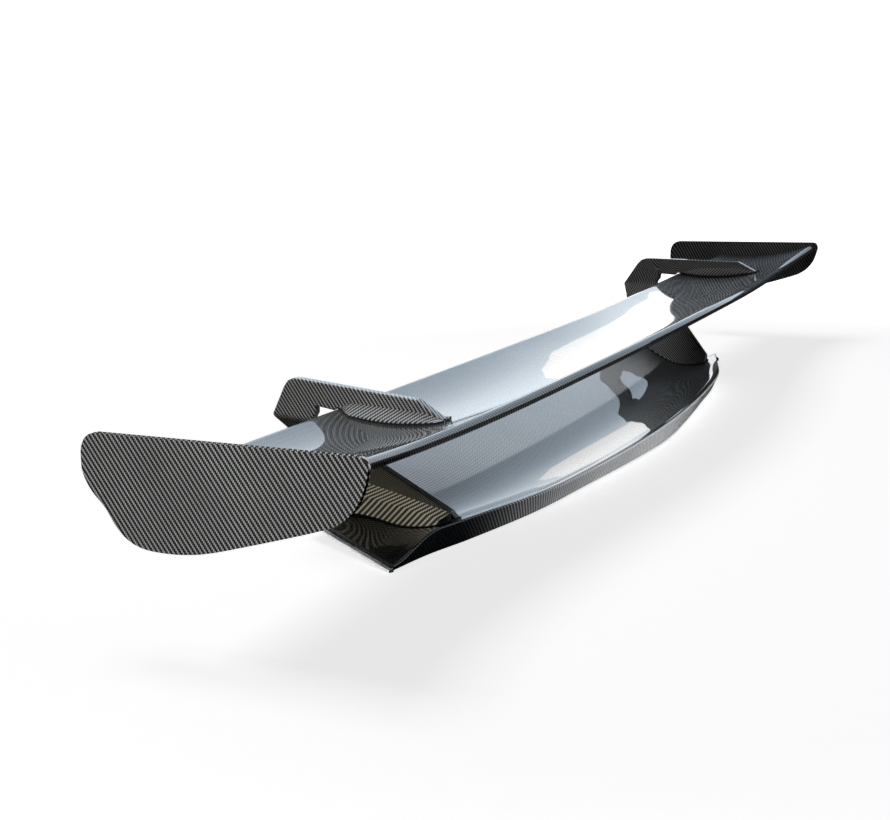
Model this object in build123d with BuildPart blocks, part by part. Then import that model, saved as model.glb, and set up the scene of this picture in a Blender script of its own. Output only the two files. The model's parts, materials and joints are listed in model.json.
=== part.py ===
from build123d import *
import math
import os

# Bowed rear wing on two swan-neck mounts and a boot-lid base, millimetres.
# +X to the vehicle's right, +Y forward, +Z up.  Origin: bottom centre of the
# whole assembly (the flat underside of the base is Z = 0).

# ------------------------------------------------------------ driving dimensions
SPAN = 1400.0            # outside of one end plate to outside of the other
HEIGHT = 150.0           # base underside to the top edge of the end plates
Y0 = -100.0              # profile tables below are Y + 100 and Z - 150
TAPE_T = 0.8             # adhesive tape under the base
Z0 = HEIGHT + TAPE_T
PLATE_T = 4.0            # end plate thickness
BOND_T = 0.5             # adhesive layer between wing and end plate
SKIN_T = 1.8             # wing skin
TE_T = 8.4               # height of the blunt trailing edge
NECK_T = 9.0             # neck thickness, measured along X
GASKET_T = 1.0           # soft pad under the lower foot of a neck
WING_PAD_T = 1.8         # soft pad between a neck and the wing
BASE_SKIN_T = 2.4        # base cover
BASE_PAN_T = 1.8         # base closing pan
FILM = 0.15              # adhesive film left between bonded pieces
LID_BOLT_R = 2.5         # M6 thread, core radius
KINK_Z = -36.0           # height where a neck turns from fin to pylon (table frame)

# wing tables: |x| -> nose y, nose z, trailing edge y, trailing edge underside z
WING = [(0, 126.5, -21.5, -26.5, -8.4), (200, 136.5, -24.0, -17.3, -13.0),
        (400, 152.0, -27.4, 2.9, -21.4), (500, 153.5, -26.2, 10.9, -23.0),
        (600, 151.0, -23.6, 12.4, -19.4), (700, 146.0, -20.5, 3.0, -8.4)]
# base tables: |x| -> lip y, foot of the rear face y
LIP = [(0, 19.5, 22.0), (100, 22.3, 28.5), (200, 30.0, 39.5), (300, 43.5, 51.5),
       (400, 73.0, 74.0), (450, 88.0, 88.5), (500, 97.0, 97.5)]
BASE_FRONT_Y = 214.0
END_EDGE = ((497.0, 96.0), (436.0, 214.0))     # plan line of the base's raked end


def table(rows, x, col):
    """Smooth interpolation of a table that is even in x."""
    x = abs(x)
    pts = [(-rows[1][0], rows[1][col])] + [(r[0], r[col]) for r in rows]
    n = len(pts)
    for i in range(1, n - 1):
        if x <= pts[i + 1][0] or i == n - 2:
            x0, v0 = pts[i]
            x1, v1 = pts[i + 1]
            m0 = (v1 - pts[i - 1][1]) / (x1 - pts[i - 1][0])
            if i + 2 < n:
                m1 = (pts[i + 2][1] - v0) / (pts[i + 2][0] - x0)
            else:
                m1 = (v1 - v0) / (x1 - x0)
            h = x1 - x0
            t = (x - x0) / h
            return (v0 * (1 + 2 * t) * (1 - t) ** 2 + m0 * h * t * (1 - t) ** 2
                    + v1 * t * t * (3 - 2 * t) + m1 * h * t * t * (t - 1))


def wing_at(x):
    return [table(WING, x, c) for c in (1, 2, 3, 4)]


def top_z(x, s, lift=0.0):
    """Upper surface height at chord fraction s, nose to tail."""
    yl, zl, yt, zt = wing_at(x)
    crown = 5.2 * math.sqrt(min(s / 0.05, 1.0) * (2 - min(s / 0.05, 1.0)))
    line = zl + crown + (zt + TE_T - zl - 5.2) * s
    return line - 8.2 * 4 * s * (1 - s) * (1.12 - 0.2 * s) + lift


def low_z(x, s):
    """Lower surface height at chord fraction s."""
    yl, zl, yt, zt = wing_at(x)
    belly = 14.0 * (2.6 * math.sqrt(s) - 2.1 * s - 0.9 * s * s + 0.4 * s ** 3)
    return zl + (zt - zl) * s - belly


def wy(x, s):
    yl, zl, yt, zt = wing_at(x)
    return yl + (yt - yl) * s


def P(y, z):
    return (y + Y0, z + Z0)


S_TOP = [0.0, 0.006, 0.02, 0.05, 0.12, 0.24, 0.4, 0.56, 0.72, 0.86, 0.95]
S_LOW = [0.0, 0.006, 0.02, 0.05, 0.12, 0.22, 0.36, 0.52, 0.68, 0.84, 1.0]
STATIONS = [-695.5, -600, -500, -400, -300, -200, -100, 0,
            100, 200, 300, 400, 500, 600, 695.5]


def te_corner(x):
    yl, zl, yt, zt = wing_at(x)
    return yt, zt


# ------------------------------------------------------------ wing skins
with BuildPart() as wing_upper_skin:
    for x in STATIONS:
        yt, zt = te_corner(x)
        with BuildSketch(Plane.YZ.offset(x)):
            with BuildLine():
                outer = [P(wy(x, s), top_z(x, s)) for s in S_TOP]
                Spline(*outer)
                ThreePointArc(outer[-1], P(yt + 1.6, top_z(x, 0.95) - 0.4), P(yt, zt + 4.2))
                Line(P(yt, zt + 4.2), P(yt, zt + SKIN_T))
                Line(P(yt, zt + SKIN_T), P(yt + 2.6, zt + SKIN_T))
                Line(P(yt + 2.6, zt + SKIN_T), P(yt + 2.6, zt + 4.4))
                inner = [P(wy(x, s), top_z(x, s) - SKIN_T) for s in (0.94, 0.86, 0.72, 0.56, 0.4, 0.24, 0.12, 0.05)]
                Line(P(yt + 2.6, zt + 4.4), inner[0])
                yl, zl = wing_at(x)[:2]
                Spline(*(inner + [P(yl - 2.2, zl)]))
                Line(P(yl - 2.2, zl), P(yl, zl))
            make_face()
    loft()
wing_upper_skin.part.label = "wing_upper_skin"

with BuildPart() as wing_lower_skin:
    for x in STATIONS:
        yt, zt = te_corner(x)
        yl, zl = wing_at(x)[:2]
        with BuildSketch(Plane.YZ.offset(x)):
            with BuildLine():
                Spline(*[P(wy(x, s), low_z(x, s)) for s in S_LOW])
                Line(P(yt, zt), P(yt, zt + SKIN_T))
                inner = [P(wy(x, s), low_z(x, s) + SKIN_T) for s in (0.84, 0.68, 0.52, 0.36, 0.22, 0.12, 0.05)]
                Spline(*([P(yt, zt + SKIN_T)] + inner + [P(yl - 2.2, zl)]))
                Line(P(yl - 2.2, zl), P(yl, zl))
            make_face()
    loft()
wing_lower_skin.part.label = "wing_lower_skin"


def wing_core(x, s0, s1, gap=FILM):
    """Outline of the space between the skins from s0 to s1."""
    out = []
    steps = [s0 + (s1 - s0) * i / 6.0 for i in range(7)]
    for s in steps:
        out.append(P(wy(x, s), top_z(x, s) - SKIN_T - gap))
    for s in steps[::-1]:
        out.append(P(wy(x, s), low_z(x, s) + SKIN_T + gap))
    return out


SPAR_X = [-686, -600, -500, -400, -300, -200, -100, 0, 100, 200, 300, 400, 500, 600, 686]
with BuildPart() as wing_main_spar:
    for x in SPAR_X:
        with BuildSketch(Plane.YZ.offset(x)):
            with BuildLine():
                Polyline(*wing_core(x, 0.16, 0.25, 0.8), close=True)
            make_face()
    loft()
wing_main_spar.part.label = "wing_main_spar"

with BuildPart() as wing_rear_spar:
    for x in SPAR_X:
        with BuildSketch(Plane.YZ.offset(x)):
            with BuildLine():
                Polyline(*wing_core(x, 0.72, 0.78, 0.4), close=True)
            make_face()
    loft()
wing_rear_spar.part.label = "wing_rear_spar"

# closing ribs at the wing tips, with holes for the end plate dowels
DOWEL_R = 1.0


def dowel_points():
    pts = []
    for s in (0.13, 0.28, 0.43):
        x = 692.0
        pts.append(P(wy(x, s), 0.5 * (top_z(x, s) + low_z(x, s))))
    return pts


with BuildPart() as right_end_rib:
    for x in (687.0, 695.5):
        with BuildSketch(Plane.YZ.offset(x)):
            with BuildLine():
                s_list = (0.08, 0.14, 0.25, 0.4, 0.55, 0.7, 0.84)
                up = [P(wy(x, s), top_z(x, s) - SKIN_T - 0.4) for s in s_list]
                dn = [P(wy(x, s), low_z(x, s) + SKIN_T + 0.3) for s in s_list]
                Polyline(*(up + dn[::-1]), close=True)
            make_face()
    loft(ruled=True)
    with BuildSketch(Plane.YZ.offset(686.0)):
        with Locations(*dowel_points()):
            Circle(DOWEL_R + 0.02)
    extrude(amount=12, mode=Mode.SUBTRACT)
right_end_rib.part.label = "right_end_rib"

# ------------------------------------------------------------ end plates
PLATE = [(5.5, 0.0), (214.6, 0.0), (222.5, -3.0), (227.0, -10.0), (227.9, -18.0), (227.7, -26.8),
         (222.3, -38.1), (210.1, -51.4), (202.2, -63.5), (193.0, -72.2), (181.0, -76.9),
         (160.5, -78.2), (139.3, -76.6), (121.7, -73.1), (90.1, -64.4), (59.5, -55.6),
         (37.3, -48.8), (25.7, -44.4), (15.5, -37.3), (7.0, -26.5), (2.6, -15.5), (0.4, -6.0), (2.0, -1.5)]
with BuildPart() as right_end_plate:
    with BuildSketch(Plane.YZ.offset(SPAN / 2 - PLATE_T)):
        with BuildLine():
            Line(P(*PLATE[0]), P(*PLATE[1]))
            Spline(*[P(*p) for p in PLATE[1:11]])
            Spline(*[P(*p) for p in PLATE[10:18]])
            Spline(*([P(*p) for p in PLATE[17:]] + [P(*PLATE[0])]))
        make_face()
    extrude(amount=PLATE_T)
    # blind dowel sockets in the inner face
    with BuildSketch(Plane.YZ.offset(SPAN / 2 - PLATE_T)):
        with Locations(*dowel_points()):
            Circle(DOWEL_R + 0.02)
    extrude(amount=2.5, mode=Mode.SUBTRACT)
right_end_plate.part.label = "right_end_plate"

with BuildPart() as right_end_plate_bond:
    x = 695.5
    with BuildSketch(Plane.YZ.offset(x)):
        with BuildLine():
            s_list = (0.006, 0.02, 0.05, 0.12, 0.24, 0.4, 0.56, 0.72, 0.86, 0.94)
            up = [P(wy(x, s), top_z(x, s) - 0.4) for s in s_list]
            dn = [P(wy(x, s), low_z(x, s) + 0.4) for s in s_list]
            Polyline(*(up + dn[::-1]), close=True)
        make_face()
    extrude(amount=BOND_T)
    with BuildSketch(Plane.YZ.offset(x)):
        with Locations(*dowel_points()):
            Circle(DOWEL_R + 0.02)
    extrude(amount=BOND_T, mode=Mode.SUBTRACT)
right_end_plate_bond.part.label = "right_end_plate_bond"

with BuildPart() as right_end_plate_dowels:
    with BuildSketch(Plane.YZ.offset(688.0)):
        with Locations(*dowel_points()):
            Circle(DOWEL_R)
    extrude(amount=10.3)
right_end_plate_dowels.part.label = "right_end_plate_dowels"

# ------------------------------------------------------------ necks
# one outline in side view; X follows two planes that meet at KINK_Z
NECK = [(226.0, -36.0), (208.0, -8.5), (203.0, -3.2), (197.0, -0.9), (190.0, -0.9), (68.4, -6.6),
        (42.2, -21.6), (42.0, -27.0), (152.0, -27.0), (155.0, -24.6), (175.5, -22.6), (176.5, -30.0),
        (181.3, -36.0), (88.4, -125.2), (87.0, -140.0), (199.0, -140.0), (199.0, -104.0),
        (207.0, -76.0), (219.0, -49.0)]
LEAN_UP = 0.12
LEAN_DOWN = 0.957
TOE = 0.198
KX, KY = 465.2, 226.0


def neck_x(y, z, dx=0.0):
    lean = LEAN_UP if z > KINK_Z else LEAN_DOWN
    return KX - TOE * (y - KY) + lean * (z - KINK_Z) + dx


def clip(poly, above):
    """Part of a side-view outline above or below KINK_Z."""
    out = []
    n = len(poly)
    for i in range(n):
        a, b = poly[i], poly[(i + 1) % n]
        ina = a[1] >= KINK_Z - 1e-6 if above else a[1] <= KINK_Z + 1e-6
        inb = b[1] >= KINK_Z - 1e-6 if above else b[1] <= KINK_Z + 1e-6
        if ina:
            out.append(a)
        if ina != inb and abs(a[1] - KINK_Z) > 1e-6 and abs(b[1] - KINK_Z) > 1e-6:
            t = (KINK_Z - a[1]) / (b[1] - a[1])
            out.append((a[0] + t * (b[0] - a[0]), KINK_Z))
    return out


def inset(poly, d):
    """Outline moved inwards by d (positive), corner by corner."""
    n = len(poly)
    area = sum(poly[i][0] * poly[(i + 1) % n][1] - poly[(i + 1) % n][0] * poly[i][1] for i in range(n))
    sg = 1.0 if area > 0 else -1.0
    out = []
    for i in range(n):
        p0, p1, p2 = poly[i - 1], poly[i], poly[(i + 1) % n]
        a = math.atan2(p1[1] - p0[1], p1[0] - p0[0])
        b = math.atan2(p2[1] - p1[1], p2[0] - p1[0])
        n1 = (-math.sin(a) * sg, math.cos(a) * sg)
        n2 = (-math.sin(b) * sg, math.cos(b) * sg)
        k = 1 + n1[0] * n2[0] + n1[1] * n2[1]
        k = max(k, 0.35)
        out.append((p1[0] + d * (n1[0] + n2[0]) / k, p1[1] + d * (n1[1] + n2[1]) / k))
    return out


def side_prism(poly, dx0, dx1, above):
    """Prism between two sheets of the neck, as a closed solid."""
    pts = clip(poly, above)
    eps = 0.0
    lean = LEAN_UP if above else LEAN_DOWN

    def xyz(p, dx):
        x = KX - TOE * (p[0] - KY) + lean * (p[1] - KINK_Z) + dx
        return Vector(x, p[0] + Y0, p[1] + Z0)
    base = Face(Wire.make_polygon([xyz(p, dx0) for p in pts], close=True))
    return Solid.extrude(base, Vector(dx1 - dx0, 0, 0))


def neck_solid(poly, dx0, dx1):
    return side_prism(poly, dx0, dx1, True) + side_prism(poly, dx0, dx1, False)


def wing_block(x0, x1, lift, floor_z):
    """Everything from floor_z up to the wing's upper surface plus lift."""
    secs = []
    for x in (x0, 0.5 * (x0 + x1), x1):
        yl, zl, yt, zt = wing_at(x)
        pts = [P(wy(x, s), top_z(x, s, lift)) for s in (0.0, 0.006, 0.02, 0.05, 0.12, 0.24, 0.4, 0.56, 0.72, 0.86, 0.95)]
        plane = Plane.YZ.offset(x)
        e1 = Edge.make_spline([plane.from_local_coords(Vector(*p)) for p in pts])
        a = plane.from_local_coords(Vector(*pts[-1]))
        b = plane.from_local_coords(Vector(pts[-1][0], floor_z + Z0))
        c = plane.from_local_coords(Vector(pts[0][0], floor_z + Z0))
        d = plane.from_local_coords(Vector(*pts[0]))
        secs.append(Wire([e1, Edge.make_line(a, b), Edge.make_line(b, c), Edge.make_line(c, d)]))
    return Solid.make_loft(secs)


# ------------------------------------------------------------ base surface
def lip_y(x):
    return table(LIP, x, 1)


def foot_y(x):
    return table(LIP, x, 2)


def pan_z(y):
    """Underside of the base: flat, then a straight rise that steepens at the front."""
    return -150.0 + 0.112 * max(y - 100.7, 0.0) + 0.012 * max(y - 190.0, 0.0) ** 2


RAMP = [(0.0, -130.0), (0.03, -131.0), (0.10, -134.0), (0.22, -137.2), (0.34, -137.6), (0.44, -134.6),
        (0.56, -127.2), (0.68, -118.6), (0.80, -111.2), (0.90, -106.8), (1.0, -104.0)]


def ramp_z(u):
    for i in range(len(RAMP) - 1):
        if u <= RAMP[i + 1][0] or i == len(RAMP) - 2:
            p0 = RAMP[max(i - 1, 0)]
            p1 = RAMP[i]
            p2 = RAMP[i + 1]
            p3 = RAMP[min(i + 2, len(RAMP) - 1)]
            m1 = (p2[1] - p0[1]) / (p2[0] - p0[0])
            m2 = (p3[1] - p1[1]) / (p3[0] - p1[0])
            h = p2[0] - p1[0]
            t = (u - p1[0]) / h
            return (p1[1] * (1 + 2 * t) * (1 - t) ** 2 + m1 * h * t * (1 - t) ** 2
                    + p2[1] * t * t * (3 - 2 * t) + m2 * h * t * t * (t - 1))


def end_gap(x, y):
    """Distance in plan from the raked end edge, positive inside."""
    (xa, ya), (xb, yb) = END_EDGE
    nx, ny = (yb - ya), -(xb - xa)
    ln = math.hypot(nx, ny)
    return -((abs(x) - xa) * nx + (y - ya) * ny) / ln


def base_z(x, y):
    """Height of the base's upper surface."""
    yr = lip_y(x)
    u = (y - yr) / (BASE_FRONT_Y - yr)
    u = min(max(u, 0.0), 1.0)
    z = ramp_z(u)
    e = min(max(end_gap(x, y) / 62.0, 0.0), 1.0)
    k = e * e * (3 - 2 * e)
    rim = pan_z(y) + 4.4
    return rim + (z - rim) * k


BASE_X = [-500, -480, -460, -440, -415, -385, -330, -240, -120, 0,
          120, 240, 330, 385, 415, 440, 460, 480, 500]
U_BASE = [0.0, 0.06, 0.14, 0.24, 0.34, 0.44, 0.56, 0.68, 0.8, 0.9, 1.0]
BASE_LIP_T = 2.6         # rear wall of the base cover
PAN_Y = [100.7, 120.0, 140.0, 160.0, 175.0, 190.0, 198.0, 206.0, 214.0]


def base_section(x, drop, rear, front, floor_z):
    """Closed section under the base's upper surface, down to floor_z."""
    yr = lip_y(x)
    yf = BASE_FRONT_Y - front
    top = []
    for u in U_BASE:
        y = yr + u * (BASE_FRONT_Y - yr)
        z = base_z(x, y) - drop
        y = min(max(y, yr + rear), yf)
        if rear and u == 0.0:
            z = base_z(x, yr + rear) - drop
        if front and u == 1.0:
            z = base_z(x, yf) - drop
        if rear and 0.0 < u and y <= yr + rear + 1.0:
            continue
        top.append(P(y, z))
    slope = (foot_y(x) - yr) / (base_z(x, yr) + 150.0)
    back = foot_y(x) + rear + slope * (-150.0 - floor_z)
    return top, P(yf, floor_z), P(back, floor_z)


def end_cutters():
    """Plan outline outside both raked ends of the base."""
    (xa, ya), (xb, yb) = END_EDGE
    k = (xb - xa) / (yb - ya)
    y1, y2 = 0.0, 240.0
    return [(xa + k * (y1 - ya), y1 + Y0), (xa + k * (y2 - ya), y2 + Y0), (620.0, y2 + Y0), (620.0, y1 + Y0)]


with BuildPart() as base_upper_skin:
    for x in BASE_X:
        with BuildSketch(Plane.YZ.offset(x)):
            with BuildLine():
                top, a, b = base_section(x, 0.0, 0.0, 0.0, -160.0)
                Spline(*top)
                Polyline(top[-1], a, b, top[0])
            make_face()
    loft(ruled=True)
    for x in BASE_X:
        with BuildSketch(Plane.YZ.offset(x)):
            with BuildLine():
                top, a, b = base_section(x, BASE_SKIN_T, BASE_LIP_T, BASE_SKIN_T, -165.0)
                Spline(*top)
                Polyline(top[-1], a, b, top[0])
            make_face()
    loft(ruled=True, mode=Mode.SUBTRACT)
    # hollow of the boot lid below the pan line
    with BuildSketch(Plane.YZ.offset(-620.0)):
        with BuildLine():
            Spline(*[P(y, pan_z(y)) for y in PAN_Y])
            Polyline(P(214.0, pan_z(214.0)), P(240.0, pan_z(214.0)), P(240.0, -170.0), P(-60.0, -170.0),
                     P(-60.0, -150.0), P(PAN_Y[0], -150.0))
        make_face()
    extrude(amount=1240.0, mode=Mode.SUBTRACT)
    for sx in (1, -1):
        with BuildSketch(Plane.XY.offset(-20.0)):
            with BuildLine():
                Polyline(*[(sx * px, py) for px, py in end_cutters()], close=True)
            make_face()
        extrude(amount=90.0, mode=Mode.SUBTRACT)
base_upper_skin.part.label = "base_upper_skin"

with BuildPart() as base_lower_pan:
    for x in BASE_X:
        with BuildSketch(Plane.YZ.offset(x)):
            with BuildLine():
                top, a, b = base_section(x, BASE_SKIN_T + FILM, BASE_LIP_T + FILM, BASE_SKIN_T + FILM, -165.0)
                Spline(*top)
                Polyline(top[-1], a, b, top[0])
            make_face()
    loft(ruled=True)
    with BuildSketch(Plane.YZ.offset(-620.0)):
        with BuildLine():
            Spline(*[P(y, pan_z(y)) for y in PAN_Y])
            Polyline(P(214.0, pan_z(214.0)), P(214.0, pan_z(214.0) + BASE_PAN_T))
            Spline(*[P(y, pan_z(y) + BASE_PAN_T) for y in PAN_Y[::-1]])
            Polyline(P(PAN_Y[0], -150.0 + BASE_PAN_T), P(0.0, -150.0 + BASE_PAN_T), P(0.0, -150.0), P(PAN_Y[0], -150.0))
        make_face()
    extrude(amount=1240.0, mode=Mode.INTERSECT)
    for sx in (1, -1):
        with BuildSketch(Plane.XY.offset(-20.0)):
            with BuildLine():
                Polyline(*[(sx * px, py) for px, py in end_cutters()], close=True)
            make_face()
        extrude(amount=90.0, mode=Mode.SUBTRACT)
base_lower_pan.part.label = "base_lower_pan"

# ------------------------------------------------------------ shared cutters and fixing points
FIN_FOOT = [(148.5, -22.4, 0.8, 0.2), (137.6, -16.2, 7.4, 6.2), (130.7, -16.2, 12.0, 6.9), (88.0, -16.2, 12.0, 7.1),
            (62.0, -16.2, 10.2, 5.2), (46.0, -19.6, 8.5, 0.5), (42.6, -20.9, 3.0, 0.2)]    # y, top z, reach, bevel drop
FIN_FOOT_IN = [(143.0, -20.6, 0.8, 0.2), (124.0, -14.8, 5.5, 7.2), (66.0, -14.8, 5.5, 6.4), (43.0, -20.9, 2.0, 0.4)]
BASE_FOOT = [(199.0, -96.2, 17.0, 7.8), (88.4, -125.2, 7.0, 5.8)]
WING_SCREWS = [(72.0, 1.4), (108.0, 1.4)]       # y, distance outboard of the fin's outer face
BASE_BOLTS = [(115.0, 408.0), (175.0, 413.0)]   # y, x
SCREW_R = 2.5
BOLT_R = 3.0
LID_X = [350.0, 440.0]
LID_Y = 115.0
CENTRE_X = [-60.0, 60.0]
CENTRE_Y = 100.0


def fin_x(y, z, dx=0.0):
    return KX - TOE * (y - KY) + LEAN_UP * (z - KINK_Z) + dx


def pylon_x(y, z, dx=0.0):
    return KX - TOE * (y - KY) + LEAN_DOWN * (z - KINK_Z) + dx


def foot_block(rows, fx, bottom, face=0.0, way=1.0):
    """Flared foot on one side of a neck, through its side-view stations."""
    faces = []
    for y, zt, reach, drop in rows:
        b = fx(y, zt, face)
        pts = [(fx(y, zt, face - 2.6 * way), zt), (b, zt), (b + reach * way, zt - drop), (b + (reach + 2.0) * way, bottom),
               (fx(y, bottom, face - 2.6 * way), bottom)]
        faces.append(Wire.make_polygon([Vector(px, y + Y0, pz + Z0) for px, pz in pts], close=True))
    return Solid.make_loft(faces, ruled=True)


def base_block(xs, lift, floor_z):
    """Solid below the base's upper surface raised by lift, on the cover's own stations."""
    secs = []
    for x in xs:
        plane = Plane.YZ.offset(x)
        top, p1, p2 = base_section(x, -lift, 0.0, 0.0, floor_z)
        e1 = Edge.make_spline([plane.from_local_coords(Vector(*p)) for p in top])
        c = [plane.from_local_coords(Vector(*q)) for q in (top[-1], p1, p2, top[0])]
        secs.append(Wire([e1] + [Edge.make_line(c[i], c[i + 1]) for i in range(3)]))
    return Solid.make_loft(secs, ruled=True)


def plan_prism(pts, z0, z1):
    f = Face(Wire.make_polygon([Vector(px, py + Y0, z0 + Z0) for px, py in pts], close=True))
    return Solid.extrude(f, Vector(0, 0, z1 - z0))


def post(x, y, r, z0, z1):
    """Vertical round bar between two heights of the table frame."""
    return Solid.make_cylinder(r, z1 - z0, Plane((x, y + Y0, z0 + Z0)))


FOOT_XS = [330.0, 385.0, 415.0, 440.0, 460.0]
wing_space = wing_block(462.0, 522.0, WING_PAD_T, -46.0)
wing_inside = wing_block(462.0, 522.0, 0.08, -46.0)
base_space = base_block(FOOT_XS, GASKET_T, -160.0)
base_inside = base_block(FOOT_XS, 0.02, -160.0)

NECK_IN = inset(NECK, 2.6)
screw_axes = [(fin_x(y, -20.0, d), y) for y, d in WING_SCREWS]
bolt_axes = [(x, y) for y, x in BASE_BOLTS]

foot_trim = plan_prism([(402.0, 60.0), (407.0, 88.3), (424.0, 99.5), (440.0, 99.5), (440.0, 60.0)], -160.0, -80.0)

outer_raw = (neck_solid(NECK, -NECK_T / 2, 0.0)
             + foot_block(FIN_FOOT, fin_x, -34.0)
             + (foot_block(BASE_FOOT, pylon_x, -141.0) - foot_trim))
inner_raw = neck_solid(NECK, -NECK_T, -NECK_T / 2) + foot_block(FIN_FOOT_IN, fin_x, -34.0, -NECK_T, -1.0)
pocket = neck_solid(NECK_IN, -6.0, -3.0)

with BuildPart() as right_neck_outer_shell:
    add(outer_raw)
    add(pocket, mode=Mode.SUBTRACT)
    add(wing_space, mode=Mode.SUBTRACT)
    add(base_space, mode=Mode.SUBTRACT)
    for x, y in screw_axes:
        add(post(x, y, SCREW_R + 0.02, -40.0, -20.4), mode=Mode.SUBTRACT)
    for x, y in bolt_axes:
        zt = base_z(x, y)
        add(post(x, y, BOLT_R + 0.02, zt - 10.0, zt + 10.0), mode=Mode.SUBTRACT)
right_neck_outer_shell.part.label = "right_neck_outer_shell"

with BuildPart() as right_neck_inner_shell:
    add(inner_raw)
    add(pocket, mode=Mode.SUBTRACT)
    add(wing_space, mode=Mode.SUBTRACT)
    add(base_space, mode=Mode.SUBTRACT)
right_neck_inner_shell.part.label = "right_neck_inner_shell"

with BuildPart() as right_neck_core:
    add(neck_solid(inset(NECK, 2.6 + FILM), -6.0 + FILM, -3.0 - FILM))
    add(wing_block(462.0, 522.0, WING_PAD_T + 0.3, -46.0), mode=Mode.SUBTRACT)
    add(base_block(FOOT_XS, GASKET_T + 0.3, -160.0), mode=Mode.SUBTRACT)
right_neck_core.part.label = "right_neck_core"

# soft pads
with BuildPart() as right_wing_gasket:
    add(wing_space)
    add(wing_inside, mode=Mode.SUBTRACT)
    pad = [(43.0, -11.0), (64.0, -14.9), (126.0, -14.9), (146.0, -9.4), (150.0, 0.4), (148.0, 1.4), (130.7, 12.4),
           (88.0, 12.4), (60.0, 10.6), (46.0, 8.9), (43.0, 4.0)]
    add(plan_prism([(fin_x(y, -24.0, d), y) for y, d in pad], -60.0, 0.0), mode=Mode.INTERSECT)
    for x, y in screw_axes:
        add(post(x, y, SCREW_R + 0.1, -60.0, 0.0), mode=Mode.SUBTRACT)
right_wing_gasket.part.label = "right_wing_gasket"

with BuildPart() as right_base_gasket:
    add(base_space)
    add(base_inside, mode=Mode.SUBTRACT)
    add(plan_prism([(388.5, 87.0), (407.5, 87.0), (419.5, 98.0), (434.0, 200.5), (392.5, 200.5)], -160.0, -60.0),
        mode=Mode.INTERSECT)
    for x, y in bolt_axes:
        add(post(x, y, BOLT_R + 0.1, -160.0, -60.0), mode=Mode.SUBTRACT)
right_base_gasket.part.label = "right_base_gasket"

# hardpoint inside the wing under the fin
with BuildPart() as right_wing_hardpoint:
    secs = []
    for x in (480.0, 495.0, 512.0):
        plane = Plane.YZ.offset(x)
        secs.append(Wire.make_polygon([plane.from_local_coords(Vector(*p)) for p in wing_core(x, 0.265, 0.7, 0.35)], close=True))
    add(Solid.make_loft(secs, ruled=True))
    for x, y in screw_axes:
        yl, zl, yt, zt = wing_at(x)
        zlow = low_z(x, (yl - y) / (yl - yt))
        add(post(x, y, SCREW_R + 0.1, -60.0, 0.0), mode=Mode.SUBTRACT)
        add(post(x, y, 4.7, -60.0, zlow + 3.0), mode=Mode.SUBTRACT)
right_wing_hardpoint.part.label = "right_wing_hardpoint"

with BuildPart() as right_wing_screws:
    for x, y in screw_axes:
        yl, zl, yt, zt = wing_at(x)
        zlow = low_z(x, (yl - y) / (yl - yt))
        add(post(x, y, SCREW_R, zlow + 2.9, -20.6) + (post(x, y, 4.5, zlow + 0.3, zlow + 3.0) - Solid.extrude(
            Face(Wire.make_polygon([Vector(x + 1.6 * math.cos(math.radians(60 * k)), y + Y0 + 1.6 * math.sin(math.radians(60 * k)),
                                           zlow + 0.2 + Z0) for k in range(6)], close=True)), Vector(0, 0, 1.7))))
right_wing_screws.part.label = "right_wing_screws"

# base bolts, from below through the base into the neck foot
with BuildPart() as right_neck_bolts:
    for x, y in bolt_axes:
        zp = pan_z(y) + BASE_PAN_T + 0.6
        zt = base_z(x, y)
        add(post(x, y, BOLT_R, zp + 3.2, zt + 9.5) + (post(x, y, 5.2, zp, zp + 3.3) - Solid.extrude(
            Face(Wire.make_polygon([Vector(x + 2.3 * math.cos(math.radians(60 * k)), y + Y0 + 2.3 * math.sin(math.radians(60 * k)),
                                           zp - 0.1 + Z0) for k in range(6)], close=True)), Vector(0, 0, 2.2))))
right_neck_bolts.part.label = "right_neck_bolts"

with BuildPart() as right_neck_bolt_washers:
    for x, y in bolt_axes:
        zp = pan_z(y) + BASE_PAN_T + 0.6
        add(post(x, y, 6.2, zp + 3.32, zp + 4.5) - post(x, y, BOLT_R + 0.15, zp + 3.0, zp + 5.0))
right_neck_bolt_washers.part.label = "right_neck_bolt_washers"


def pan_space(lift):
    """Region of the base below the pan's upper face, raised by lift."""
    pts = [P(0.0, -150.0 + lift), P(PAN_Y[0], -150.0 + lift)] + [P(y, pan_z(y) + lift) for y in PAN_Y[1:]] + [
        P(240.0, pan_z(214.0) + lift), P(240.0, -175.0), P(0.0, -175.0)]
    plane = Plane.YZ.offset(-620.0)
    f = Face(Wire.make_polygon([plane.from_local_coords(Vector(*p)) for p in pts], close=True))
    return Solid.extrude(f, Vector(1240.0, 0, 0))


pan_cut = pan_space(BASE_PAN_T + 0.35)


def filler(xs, plan, z_lift=-BASE_SKIN_T - 0.35):
    """Block bonded between the base cover and the pan."""
    return (base_block(xs, z_lift, -160.0) - pan_cut) & plan_prism(plan, -160.0, -60.0)


with BuildPart() as right_base_block:
    add(filler([240.0, 330.0, 385.0, 415.0, 440.0, 460.0],
               [(328.0, 98.0), (456.0, 98.0), (456.0, 130.0), (436.0, 196.0), (388.0, 196.0), (328.0, 135.0)]))
    for x, y in bolt_axes:
        zp = pan_z(y) + BASE_PAN_T + 0.6
        add(post(x, y, BOLT_R + 0.15, -160.0, -60.0), mode=Mode.SUBTRACT)
        add(post(x, y, 6.4, -160.0, zp + 4.55), mode=Mode.SUBTRACT)
    for x in LID_X:
        add(post(x, LID_Y, 4.2, -160.0, -60.0), mode=Mode.SUBTRACT)
right_base_block.part.label = "right_base_block"

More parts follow.
